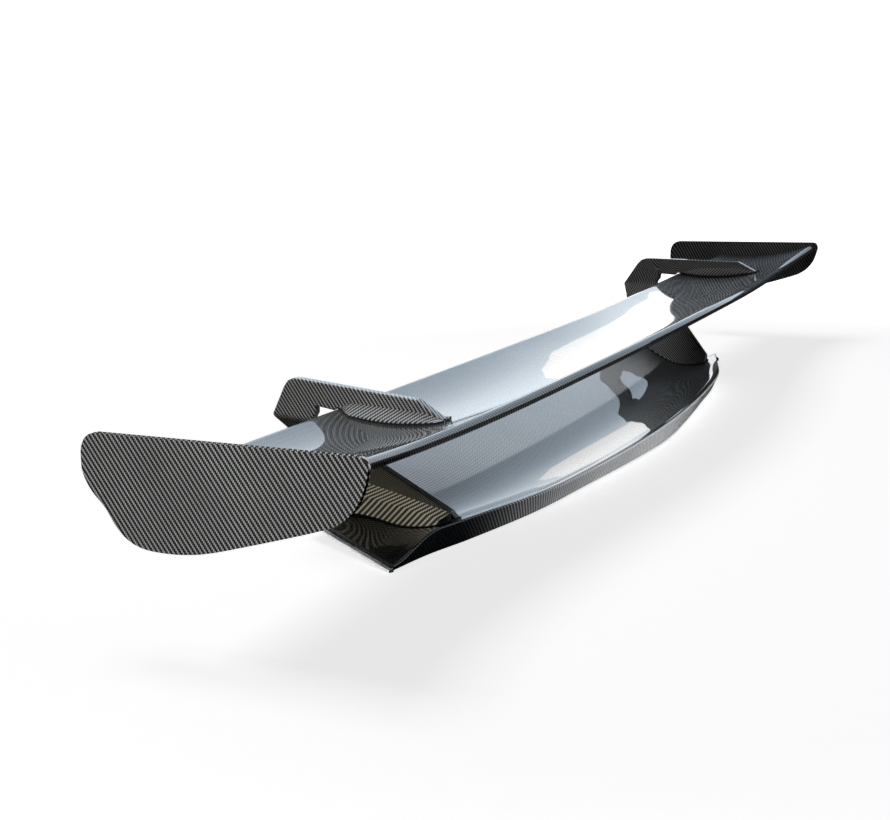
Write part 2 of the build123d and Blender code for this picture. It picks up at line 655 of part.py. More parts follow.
with BuildPart() as centre_base_block:
    add(filler([-120.0, 0.0, 120.0], [(-88.0, 78.0), (88.0, 78.0), (88.0, 124.0), (-88.0, 124.0)]))
    for x in CENTRE_X:
        add(post(x, CENTRE_Y, 4.2, -160.0, -60.0), mode=Mode.SUBTRACT)
centre_base_block.part.label = "centre_base_block"


def insert_ring(x, y):
    top = base_z(x, y) - BASE_SKIN_T - 0.9
    low = -150.0 + BASE_PAN_T + 0.35
    return post(x, y, 4.15, low, top) - post(x, y, LID_BOLT_R, low - 1.0, top + 1.0)


with BuildPart() as right_lid_inserts:
    for x in LID_X:
        add(insert_ring(x, LID_Y))
right_lid_inserts.part.label = "right_lid_inserts"

with BuildPart() as centre_lid_inserts:
    for x in CENTRE_X:
        add(insert_ring(x, CENTRE_Y))
centre_lid_inserts.part.label = "centre_lid_inserts"

# stiffening ribs of the base, between the blocks
with BuildPart() as base_stiffeners:
    for xc in (-255.0, -170.0, 170.0, 255.0):
        xs = [120.0, 240.0, 330.0] if xc > 0 else [-330.0, -240.0, -120.0]
        add(filler(xs, [(xc - 1.5, 72.0), (xc + 1.5, 72.0), (xc + 1.5, 205.0), (xc - 1.5, 205.0)]))
base_stiffeners.part.label = "base_stiffeners"

# adhesive tape under the base
with BuildPart() as base_tape_strips:
    for x0, x1 in ((70.0, 330.0), (-330.0, -70.0)):
        with BuildSketch(Plane.XY.offset(-150.0 - TAPE_T + Z0)):
            with Locations(((x0 + x1) / 2, 80.0 + Y0)):
                Rectangle(x1 - x0, 19.0)
        extrude(amount=TAPE_T)
    with BuildSketch(Plane.YZ.offset(0.0)):
        with BuildLine():
            ys = [186.0 + 2.0 * i for i in range(10)]
            Polyline(*([P(y, pan_z(y) - TAPE_T) for y in ys] + [P(y, pan_z(y) - 0.03) for y in ys[::-1]]), close=True)
        make_face()
    front_strip = extrude(amount=400.0, both=True, mode=Mode.PRIVATE)
    add(front_strip)
base_tape_strips.part.label = "base_tape_strips"

# rubber edge seal along the raked end of the base
with BuildPart() as right_edge_seal:
    with BuildSketch(Plane.YZ.offset(420.0)):
        with BuildLine():
            ys = (95.0,) + tuple(PAN_Y)
            Polyline(*([P(y, pan_z(y) - TAPE_T) for y in ys] + [P(y, pan_z(y) + 1.6) for y in ys[::-1]]), close=True)
        make_face()
    extrude(amount=90.0)
    (xa, ya), (xb, yb) = END_EDGE
    ln = math.hypot(xb - xa, yb - ya)
    ox, oy = (yb - ya) / ln, -(xb - xa) / ln
    with BuildSketch(Plane.XY.offset(-20.0)):
        with BuildLine():
            Polyline((xa + 0.05 * ox, ya + 0.05 * oy + Y0), (xa + 5.0 * ox, ya + 5.0 * oy + Y0),
                     (xb + 5.0 * ox, yb + 5.0 * oy + Y0), (xb + 0.05 * ox, yb + 0.05 * oy + Y0), close=True)
        make_face()
    extrude(amount=90.0, mode=Mode.INTERSECT)
right_edge_seal.part.label = "right_edge_seal"

# ------------------------------------------------------------ holes through the skins, both sides
with BuildPart() as base_upper_skin_done:
    add(base_upper_skin.part)
    for sx in (1, -1):
        for x, y in bolt_axes:
            add(post(sx * x, y, BOLT_R + 0.15, -160.0, -60.0), mode=Mode.SUBTRACT)
base_upper_skin_done.part.label = "base_upper_skin"

with BuildPart() as base_lower_pan_done:
    add(base_lower_pan.part)
    for sx in (1, -1):
        for x, y in bolt_axes:
            add(post(sx * x, y, 6.8, -160.0, -60.0), mode=Mode.SUBTRACT)
        for x in LID_X:
            add(post(sx * x, LID_Y, 4.6, -160.0, -60.0), mode=Mode.SUBTRACT)
    for x in CENTRE_X:
        add(post(x, CENTRE_Y, 4.6, -160.0, -60.0), mode=Mode.SUBTRACT)
base_lower_pan_done.part.label = "base_lower_pan"

with BuildPart() as wing_upper_skin_done:
    add(wing_upper_skin.part)
    for sx in (1, -1):
        for x, y in screw_axes:
            add(post(sx * x, y, SCREW_R + 0.1, -30.0, 0.0), mode=Mode.SUBTRACT)
wing_upper_skin_done.part.label = "wing_upper_skin"

with BuildPart() as wing_lower_skin_done:
    add(wing_lower_skin.part)
    for sx in (1, -1):
        for x, y in screw_axes:
            add(post(sx * x, y, 4.7, -60.0, -20.0), mode=Mode.SUBTRACT)
wing_lower_skin_done.part.label = "wing_lower_skin"

# ------------------------------------------------------------ left-hand pieces
with BuildPart() as left_end_rib:
    mirror(right_end_rib.part, about=Plane.YZ)
left_end_rib.part.label = "left_end_rib"

with BuildPart() as left_end_plate:
    mirror(right_end_plate.part, about=Plane.YZ)
left_end_plate.part.label = "left_end_plate"

with BuildPart() as left_end_plate_bond:
    mirror(right_end_plate_bond.part, about=Plane.YZ)
left_end_plate_bond.part.label = "left_end_plate_bond"

with BuildPart() as left_end_plate_dowels:
    mirror(right_end_plate_dowels.part, about=Plane.YZ)
left_end_plate_dowels.part.label = "left_end_plate_dowels"

with BuildPart() as left_neck_outer_shell:
    mirror(right_neck_outer_shell.part, about=Plane.YZ)
left_neck_outer_shell.part.label = "left_neck_outer_shell"

with BuildPart() as left_neck_inner_shell:
    mirror(right_neck_inner_shell.part, about=Plane.YZ)
left_neck_inner_shell.part.label = "left_neck_inner_shell"

with BuildPart() as left_neck_core:
    mirror(right_neck_core.part, about=Plane.YZ)
left_neck_core.part.label = "left_neck_core"

with BuildPart() as left_wing_gasket:
    mirror(right_wing_gasket.part, about=Plane.YZ)
left_wing_gasket.part.label = "left_wing_gasket"

with BuildPart() as left_base_gasket:
    mirror(right_base_gasket.part, about=Plane.YZ)
left_base_gasket.part.label = "left_base_gasket"

with BuildPart() as left_wing_hardpoint:
    mirror(right_wing_hardpoint.part, about=Plane.YZ)
left_wing_hardpoint.part.label = "left_wing_hardpoint"

with BuildPart() as left_wing_screws:
    mirror(right_wing_screws.part, about=Plane.YZ)
left_wing_screws.part.label = "left_wing_screws"

with BuildPart() as left_neck_bolts:
    mirror(right_neck_bolts.part, about=Plane.YZ)
left_neck_bolts.part.label = "left_neck_bolts"

with BuildPart() as left_neck_bolt_washers:
    mirror(right_neck_bolt_washers.part, about=Plane.YZ)
left_neck_bolt_washers.part.label = "left_neck_bolt_washers"

with BuildPart() as left_base_block:
    mirror(right_base_block.part, about=Plane.YZ)
left_base_block.part.label = "left_base_block"

with BuildPart() as left_lid_inserts:
    mirror(right_lid_inserts.part, about=Plane.YZ)
left_lid_inserts.part.label = "left_lid_inserts"

with BuildPart() as left_edge_seal:
    mirror(right_edge_seal.part, about=Plane.YZ)
left_edge_seal.part.label = "left_edge_seal"

# ------------------------------------------------------------ output
os.makedirs("parts", exist_ok=True)
for name in (wing_upper_skin_done, wing_lower_skin_done, wing_main_spar, wing_rear_spar,
             left_end_rib, right_end_rib, left_end_plate, right_end_plate,
             left_end_plate_bond, right_end_plate_bond, left_end_plate_dowels, right_end_plate_dowels,
             left_wing_hardpoint, right_wing_hardpoint, left_wing_gasket, right_wing_gasket,
             left_wing_screws, right_wing_screws,
             left_neck_outer_shell, right_neck_outer_shell, left_neck_inner_shell, right_neck_inner_shell,
             left_neck_core, right_neck_core, left_base_gasket, right_base_gasket,
             left_neck_bolts, right_neck_bolts, left_neck_bolt_washers, right_neck_bolt_washers,
             base_upper_skin_done, base_lower_pan_done, left_base_block, right_base_block, centre_base_block,
             left_lid_inserts, right_lid_inserts, centre_lid_inserts, base_stiffeners,
             base_tape_strips, left_edge_seal, right_edge_seal):
    export_step(name.part, "parts/" + name.part.label + ".step")
    print(name.part.label, name.part.is_valid, round(name.part.volume), len(name.part.solids()))
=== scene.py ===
import json
import math

import bmesh
import bpy
import numpy as np
from mathutils import Matrix, Vector
from mathutils.geometry import delaunay_2d_cdt

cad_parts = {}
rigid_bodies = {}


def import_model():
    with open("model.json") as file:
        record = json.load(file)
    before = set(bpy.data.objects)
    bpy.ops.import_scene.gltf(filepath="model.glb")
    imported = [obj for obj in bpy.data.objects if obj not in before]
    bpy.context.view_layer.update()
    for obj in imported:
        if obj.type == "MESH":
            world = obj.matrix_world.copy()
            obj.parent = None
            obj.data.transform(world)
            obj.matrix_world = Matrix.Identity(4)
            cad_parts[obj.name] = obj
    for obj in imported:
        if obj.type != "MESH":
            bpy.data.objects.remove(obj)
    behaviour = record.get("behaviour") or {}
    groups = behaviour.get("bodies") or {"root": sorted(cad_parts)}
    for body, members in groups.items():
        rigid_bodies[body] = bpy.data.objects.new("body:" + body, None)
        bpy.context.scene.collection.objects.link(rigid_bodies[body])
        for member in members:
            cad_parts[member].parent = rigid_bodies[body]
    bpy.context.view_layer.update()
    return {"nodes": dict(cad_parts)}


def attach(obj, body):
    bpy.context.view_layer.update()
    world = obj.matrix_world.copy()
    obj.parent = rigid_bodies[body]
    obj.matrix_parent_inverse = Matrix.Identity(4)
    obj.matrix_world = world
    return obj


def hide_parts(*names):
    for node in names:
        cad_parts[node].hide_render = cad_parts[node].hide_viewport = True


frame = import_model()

scene = bpy.context.scene

# ---------------------------------------------------------------- camera
cam_data = bpy.data.cameras.new("camera")
cam = bpy.data.objects.new("camera", cam_data)
scene.collection.objects.link(cam)
scene.camera = cam
cam_data.lens = 54.8
cam_data.sensor_width = 36.0
cam_data.sensor_fit = "HORIZONTAL"
cam_data.clip_start = 0.02
cam_data.clip_end = 200.0
right = Vector((0.4410925, -0.89688006, -0.03230417))
down = Vector((-0.2037977, -0.06504472, -0.97684988))
ahead = Vector((0.87401596, 0.43746467, -0.21147283))
m = Matrix((right, -down, -ahead)).transposed().to_4x4()
m.translation = Vector((-1.40968, -0.51177, 0.35831))
cam.matrix_world = m
scene.view_settings.view_transform = "Standard"
scene.view_settings.look = "None"

# ---------------------------------------------------------------- the part's own tables (mm, as in the CAD source)
Y0, Z0 = -100.0, 150.8
WING = [(0, 126.5, -21.5, -26.5, -8.4), (200, 136.5, -24.0, -17.3, -13.0),
        (400, 152.0, -27.4, 2.9, -21.4), (500, 153.5, -26.2, 10.9, -23.0),
        (600, 151.0, -23.6, 12.4, -19.4), (700, 146.0, -20.5, 3.0, -8.4)]
LIP = [(0, 19.5, 22.0), (100, 22.3, 28.5), (200, 30.0, 39.5), (300, 43.5, 51.5),
       (400, 73.0, 74.0), (450, 88.0, 88.5), (500, 97.0, 97.5)]
RAMP = [(0.0, -130.0), (0.03, -131.0), (0.10, -134.0), (0.22, -137.2), (0.34, -137.6), (0.44, -134.6),
        (0.56, -127.2), (0.68, -118.6), (0.80, -111.2), (0.90, -106.8), (1.0, -104.0)]
END_EDGE = ((497.0, 96.0), (436.0, 214.0))
FRONT_Y = 214.0
TE_T, SKIN_T, NECK_T = 8.4, 1.8, 9.0
KINK_Z, LEAN_UP, LEAN_DOWN, TOE, KX, KY = -36.0, 0.12, 0.957, 0.198, 465.2, 226.0
PLATE = [(5.5, 0.0), (214.6, 0.0), (222.5, -3.0), (227.0, -10.0), (227.9, -18.0), (227.7, -26.8),
         (222.3, -38.1), (210.1, -51.4), (202.2, -63.5), (193.0, -72.2), (181.0, -76.9),
         (160.5, -78.2), (139.3, -76.6), (121.7, -73.1), (90.1, -64.4), (59.5, -55.6),
         (37.3, -48.8), (25.7, -44.4), (15.5, -37.3), (7.0, -26.5), (2.6, -15.5), (0.4, -6.0), (2.0, -1.5)]
FIN_FOOT = [(148.5, -22.4, 0.8, 0.2), (137.6, -16.2, 7.4, 6.2), (130.7, -16.2, 12.0, 6.9), (88.0, -16.2, 12.0, 7.1),
            (62.0, -16.2, 10.2, 5.2), (46.0, -19.6, 8.5, 0.5), (42.6, -20.9, 3.0, 0.2)]
FIN_FOOT_IN = [(143.0, -20.6, 0.8, 0.2), (124.0, -14.8, 5.5, 7.2), (66.0, -14.8, 5.5, 6.4), (43.0, -20.9, 2.0, 0.4)]
BASE_FOOT = [(199.0, -96.2, 17.0, 7.8), (88.4, -125.2, 7.0, 5.8)]


def table(rows, x, col):
    x = abs(x)
    pts = [(-rows[1][0], rows[1][col])] + [(r[0], r[col]) for r in rows]
    n = len(pts)
    for i in range(1, n - 1):
        if x <= pts[i + 1][0] or i == n - 2:
            x0, v0 = pts[i]
            x1, v1 = pts[i + 1]
            m0 = (v1 - pts[i - 1][1]) / (x1 - pts[i - 1][0])
            if i + 2 < n:
                m1 = (pts[i + 2][1] - v0) / (pts[i + 2][0] - x0)
            else:
                m1 = (v1 - v0) / (x1 - x0)
            h = x1 - x0
            t = (x - x0) / h
            return (v0 * (1 + 2 * t) * (1 - t) ** 2 + m0 * h * t * (1 - t) ** 2
                    + v1 * t * t * (3 - 2 * t) + m1 * h * t * t * (t - 1))


def wing_at(x):
    return [table(WING, x, c) for c in (1, 2, 3, 4)]


def top_z(x, s):
    yl, zl, yt, zt = wing_at(x)
    crown = 5.2 * math.sqrt(min(max(s, 0.0) / 0.05, 1.0) * (2 - min(s / 0.05, 1.0)))
    line = zl + crown + (zt + TE_T - zl - 5.2) * s
    return line - 8.2 * 4 * s * (1 - s) * (1.12 - 0.2 * s)


def low_z(x, s):
    yl, zl, yt, zt = wing_at(x)
    return zl + (zt - zl) * s - 14.0 * (2.6 * math.sqrt(s) - 2.1 * s - 0.9 * s * s + 0.4 * s ** 3)


def wy(x, s):
    yl, zl, yt, zt = wing_at(x)
    return yl + (yt - yl) * s


def lip_y(x):
    return table(LIP, x, 1)


def foot_y(x):
    return table(LIP, x, 2)


def pan_z(y):
    return -150.0 + 0.112 * max(y - 100.7, 0.0) + 0.012 * max(y - 190.0, 0.0) ** 2


def ramp_z(u):
    for i in range(len(RAMP) - 1):
        if u <= RAMP[i + 1][0] or i == len(RAMP) - 2:
            p0, p1, p2 = RAMP[max(i - 1, 0)], RAMP[i], RAMP[i + 1]
            p3 = RAMP[min(i + 2, len(RAMP) - 1)]
            m1 = (p2[1] - p0[1]) / (p2[0] - p0[0])
            m2 = (p3[1] - p1[1]) / (p3[0] - p1[0])
            h = p2[0] - p1[0]
            t = (u - p1[0]) / h
            return (p1[1] * (1 + 2 * t) * (1 - t) ** 2 + m1 * h * t * (1 - t) ** 2
                    + p2[1] * t * t * (3 - 2 * t) + m2 * h * t * t * (t - 1))


def end_gap(x, y):
    (xa, ya), (xb, yb) = END_EDGE
    nx, ny = (yb - ya), -(xb - xa)
    return -((abs(x) - xa) * nx + (y - ya) * ny) / math.hypot(nx, ny)


def base_z(x, y):
    yr = lip_y(x)
    u = min(max((y - yr) / (FRONT_Y - yr), 0.0), 1.0)
    z = ramp_z(u)
    e = min(max(end_gap(x, y) / 62.0, 0.0), 1.0)
    k = e * e * (3 - 2 * e)
    rim = pan_z(y) + 4.4
    return rim + (z - rim) * k


# ---------------------------------------------------------------- mesh helpers
def round_corners(poly, radii, seg=5):
    """Closed outline with each corner turned into an arc of seg pieces; radius 0 keeps the point."""
    out = []
    n = len(poly)
    for i in range(n):
        p0, p1, p2 = (np.array(poly[k % n], float) for k in (i - 1, i, i + 1))
        r = radii[i]
        if r <= 0:
            out.append(p1)
            continue
        a, b = p0 - p1, p2 - p1
        la, lb = np.linalg.norm(a), np.linalg.norm(b)
        a, b = a / max(la, 1e-9), b / max(lb, 1e-9)
        half = 0.5 * math.acos(max(-1.0, min(1.0, float(a @ b))))
        if half > 1.5:
            t = min(0.3 * la, 0.3 * lb, r)
        else:
            t = min(r / math.tan(half), 0.47 * la, 0.47 * lb)
        rr = t * math.tan(half)
        mid = a + b
        if np.linalg.norm(mid) < 1e-6:
            for k in range(seg + 1):
                out.append(p1 + a * t * (1 - k / seg) + b * t * (k / seg))
            continue
        mid /= np.linalg.norm(mid)
        c = p1 + mid * math.hypot(rr, t)
        va, vb = (p1 + a * t) - c, (p1 + b * t) - c
        for k in range(seg + 1):
            w = k / seg
            ang = math.acos(max(-1.0, min(1.0, float(va @ vb) / max(rr * rr, 1e-12))))
            if ang < 1e-4:
                v = va * (1 - w) + vb * w
            else:
                v = (va * math.sin((1 - w) * ang) + vb * math.sin(w * ang)) / math.sin(ang)
            out.append(c + v)
    return out


def densify(pts, step, fine=None, band=None):
    out = []
    n = len(pts)
    for i in range(n):
        a, b = np.array(pts[i], float), np.array(pts[(i + 1) % n], float)
        s = step
        if band and min(a[1], b[1]) < band[1] and max(a[1], b[1]) > band[0]:
            s = fine
        k = max(1, int(math.ceil(np.linalg.norm(b - a) / s)))
        for j in range(k):
            out.append(a + (b - a) * j / k)
    keep = [out[0]]
    for p in out[1:]:
        if np.linalg.norm(p - keep[-1]) > 0.02:
            keep.append(p)
    if np.linalg.norm(keep[-1] - keep[0]) < 0.02:
        keep.pop()
    return np.array(keep)


def catmull(pts, step):
    """Closed centripetal Catmull-Rom through pts; the first span stays straight."""
    pts = [np.array(p, float) for p in pts]
    n = len(pts)
    out = []
    for i in range(n):
        p0, p1, p2, p3 = pts[i - 1], pts[i], pts[(i + 1) % n], pts[(i + 2) % n]
        k = max(2, int(math.ceil(np.linalg.norm(p2 - p1) / step)))
        if i == 0:
            for j in range(k):
                out.append(p1 + (p2 - p1) * j / k)
            continue
        t0 = 0.0
        t1 = t0 + math.sqrt(np.linalg.norm(p1 - p0))
        t2 = t1 + math.sqrt(np.linalg.norm(p2 - p1))
        t3 = t2 + math.sqrt(np.linalg.norm(p3 - p2))
        for j in range(k):
            t = t1 + (t2 - t1) * j / k
            a1 = (t1 - t) / (t1 - t0) * p0 + (t - t0) / (t1 - t0) * p1
            a2 = (t2 - t) / (t2 - t1) * p1 + (t - t1) / (t2 - t1) * p2
            a3 = (t3 - t) / (t3 - t2) * p2 + (t - t2) / (t3 - t2) * p3
            b1 = (t2 - t) / (t2 - t0) * a1 + (t - t0) / (t2 - t0) * a2
            b2 = (t3 - t) / (t3 - t1) * a2 + (t - t1) / (t3 - t1) * a3
            out.append((t2 - t) / (t2 - t1) * b1 + (t - t1) / (t2 - t1) * b2)
    return np.array(out)


def outward(pts):
    """Outward mitre direction and its stretch at each point of a counter-clockwise outline."""
    n = len(pts)
    e = np.roll(pts, -1, 0) - pts
    e /= np.linalg.norm(e, axis=1)[:, None]
    nrm = np.column_stack([e[:, 1], -e[:, 0]])
    prev = np.roll(nrm, 1, 0)
    s = nrm + prev
    s /= np.linalg.norm(s, axis=1)[:, None]
    cosh = np.clip((s * nrm).sum(1), 0.5, 1.0)
    return s, 1.0 / cosh


def piece(name, verts, faces, uvs, material, nodes, flip=False, sharp=35.0, weighted=True):
    """verts in the table frame (mm); makes the object in the row frame (m)."""
    v = np.array(verts, float)
    v = np.column_stack([v[:, 0], v[:, 1] + Y0, v[:, 2] + Z0]) / 1000.0
    me = bpy.data.meshes.new(name)
    if flip:
        faces = [f[::-1] for f in faces]
    me.from_pydata([tuple(p) for p in v], [], faces)
    layer = me.uv_layers.new(name="UVMap")
    idx = np.zeros(len(me.loops), np.int32)
    me.loops.foreach_get("vertex_index", idx)
    uv = np.array(uvs, float)[idx] / 1000.0
    layer.data.foreach_set("uv", uv.astype(np.float32).ravel())
    bm = bmesh.new()
    bm.from_mesh(me)
    bmesh.ops.remove_doubles(bm, verts=bm.verts, dist=2e-6)
    bmesh.ops.dissolve_degenerate(bm, dist=1e-6, edges=bm.edges)
    if bm.calc_volume(signed=True) < 0:
        bmesh.ops.reverse_faces(bm, faces=bm.faces)
    odd = sum(1 for e in bm.edges if not e.is_manifold)
    print("piece", name, "open edges", odd, "volume mm3", round(bm.calc_volume(signed=True) * 1e9))
    bm.to_mesh(me)
    bm.free()
    me.polygons.foreach_set("use_smooth", [True] * len(me.polygons))
    me.update()
    me.set_sharp_from_angle(angle=math.radians(sharp))
    ob = bpy.data.objects.new(name, me)
    scene.collection.objects.link(ob)
    me.materials.append(material)
    if weighted:
        mod = ob.modifiers.new("weighted", "WEIGHTED_NORMAL")
        mod.keep_sharp = True
        mod.weight = 60
    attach(ob, "root")
    if nodes:
        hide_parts(*nodes)
    return ob


def rings_to_mesh(rings, caps=True):
    """Rings of equal length, each closed, to vertices and faces."""
    n = len(rings[0])
    verts = [p for r in rings for p in r]
    faces = []
    for i in range(len(rings) - 1):
        a, b = i * n, (i + 1) * n
        for j in range(n):
            k = (j + 1) % n
            faces.append((a + j, a + k, b + k, b + j))
    if caps:
        faces.append(tuple(range(n - 1, -1, -1)))
        last = (len(rings) - 1) * n
        faces.append(tuple(last + j for j in range(n)))
    return verts, faces


def thick_plate(outline, xfun, thick, r, nseg, side, levels=(), uvfun=None):
    """A plate with rounded edges. outline is (y, z); xfun(y, z) is the outer face for the right side."""
    out = np.array(outline)
    nrm, stretch = outward(out)
    rings = []
    uvr = []
    prof = []
    for k in range(nseg + 1):
        th = 0.5 * math.pi * k / nseg
        prof.append((r * (1 - math.sin(th)), -r * (1 - math.cos(th)), r * th))
    arc0 = 0.5 * math.pi * r
    half = []
    flat = thick - 2 * r
    for f in (0.5,):
        half.append((0.0, -r - flat * f, arc0 + flat * f))
    back = [(p[0], -thick - p[1], 2 * arc0 + flat - p[2]) for p in prof[::-1]]
    for inset, dx, arc in prof + half + back:
        p = out - nrm * (inset * stretch)[:, None]
        x = np.array([xfun(a, b) for a, b in p]) + dx
        rings.append(np.column_stack([x * side, p]))
        base = out - nrm * (r * stretch)[:, None]
        q = base + nrm * arc
        uvr.append(np.array([uvfun(a, b) for a, b in q]) if uvfun else q)
    n = len(out)
    verts = np.concatenate(rings)
    uvs = np.concatenate(uvr)
    faces = []
    for i in range(len(rings) - 1):
        a, b = i * n, (i + 1) * n
        for j in range(n):
            k = (j + 1) % n
            faces.append((a + j, b + j, b + k, a + k))
    cap = out - nrm * (r * stretch)[:, None]
    edges = [(j, (j + 1) % n) for j in range(n)]
    for i, j in levels:
        edges.append((i, j))
    res = delaunay_2d_cdt([Vector(p) for p in cap], edges, [], 1, 1e-6)
    last = (len(rings) - 1) * n
    extra = []
    near, far = {}, {}
    for i, o in enumerate(res[3]):
        if len(o):
            near[i], far[i] = o[0], last + o[0]
        else:
            p = res[0][i]
            xx = xfun(p[0], p[1])
            near[i] = len(verts) + len(extra)
            far[i] = near[i] + 1
            extra += [(xx * side, p[0], p[1]), ((xx - thick) * side, p[0], p[1])]
            q = uvfun(p[0], p[1]) if uvfun else (p[0], p[1])
            uvs = np.concatenate([uvs, np.array([q, q])])
    if extra:
        print("cap points added", len(extra))
        verts = np.concatenate([verts, np.array(extra)])
    for f in res[2]:
        faces.append(tuple(near[i] for i in f))
        faces.append(tuple(far[i] for i in f[::-1]))
    # all faces point outward for the right side; the left side is mirrored
    return verts, faces, uvs, side < 0


# ---------------------------------------------------------------- materials
def nodes_of(name):
    mat = bpy.data.materials.new(name)
    mat.use_nodes = True
    nt = mat.node_tree
    nt.nodes.clear()
    out = nt.nodes.new("ShaderNodeOutputMaterial")
    bsdf = nt.nodes.new("ShaderNodeBsdfPrincipled")
    nt.links.new(bsdf.outputs["BSDF"], out.inputs["Surface"])
    return mat, nt, bsdf


def math_node(nt, op, a, b=None, c=None):
    nd = nt.nodes.new("ShaderNodeMath")
    nd.operation = op
    for i, v in enumerate((a, b, c)):
        if v is None:
            continue
        if isinstance(v, (int, float)):
            nd.inputs[i].default_value = v
        else:
            nt.links.new(v, nd.inputs[i])
    return nd.outputs[0]


def mix_rgb(nt, fac, a, b):
    nd = nt.nodes.new("ShaderNodeMix")
    nd.data_type = "RGBA"
    for sock, v in ((nd.inputs["Factor"], fac), (nd.inputs[6], a), (nd.inputs[7], b)):
        if isinstance(v, (int, float)):
            sock.default_value = v
        elif isinstance(v, tuple):
            sock.default_value = (*v, 1.0) if len(v) == 3 else v
        else:
            nt.links.new(v, sock)
    return nd.outputs[2]


def mix_val(nt, fac, a, b):
    nd = nt.nodes.new("ShaderNodeMix")
    nd.data_type = "FLOAT"
    for sock, v in ((nd.inputs["Factor"], fac), (nd.inputs[2], a), (nd.inputs[3], b)):
        if isinstance(v, (int, float)):
            sock.default_value = v
        else:
            nt.links.new(v, sock)
    return nd.outputs[0]


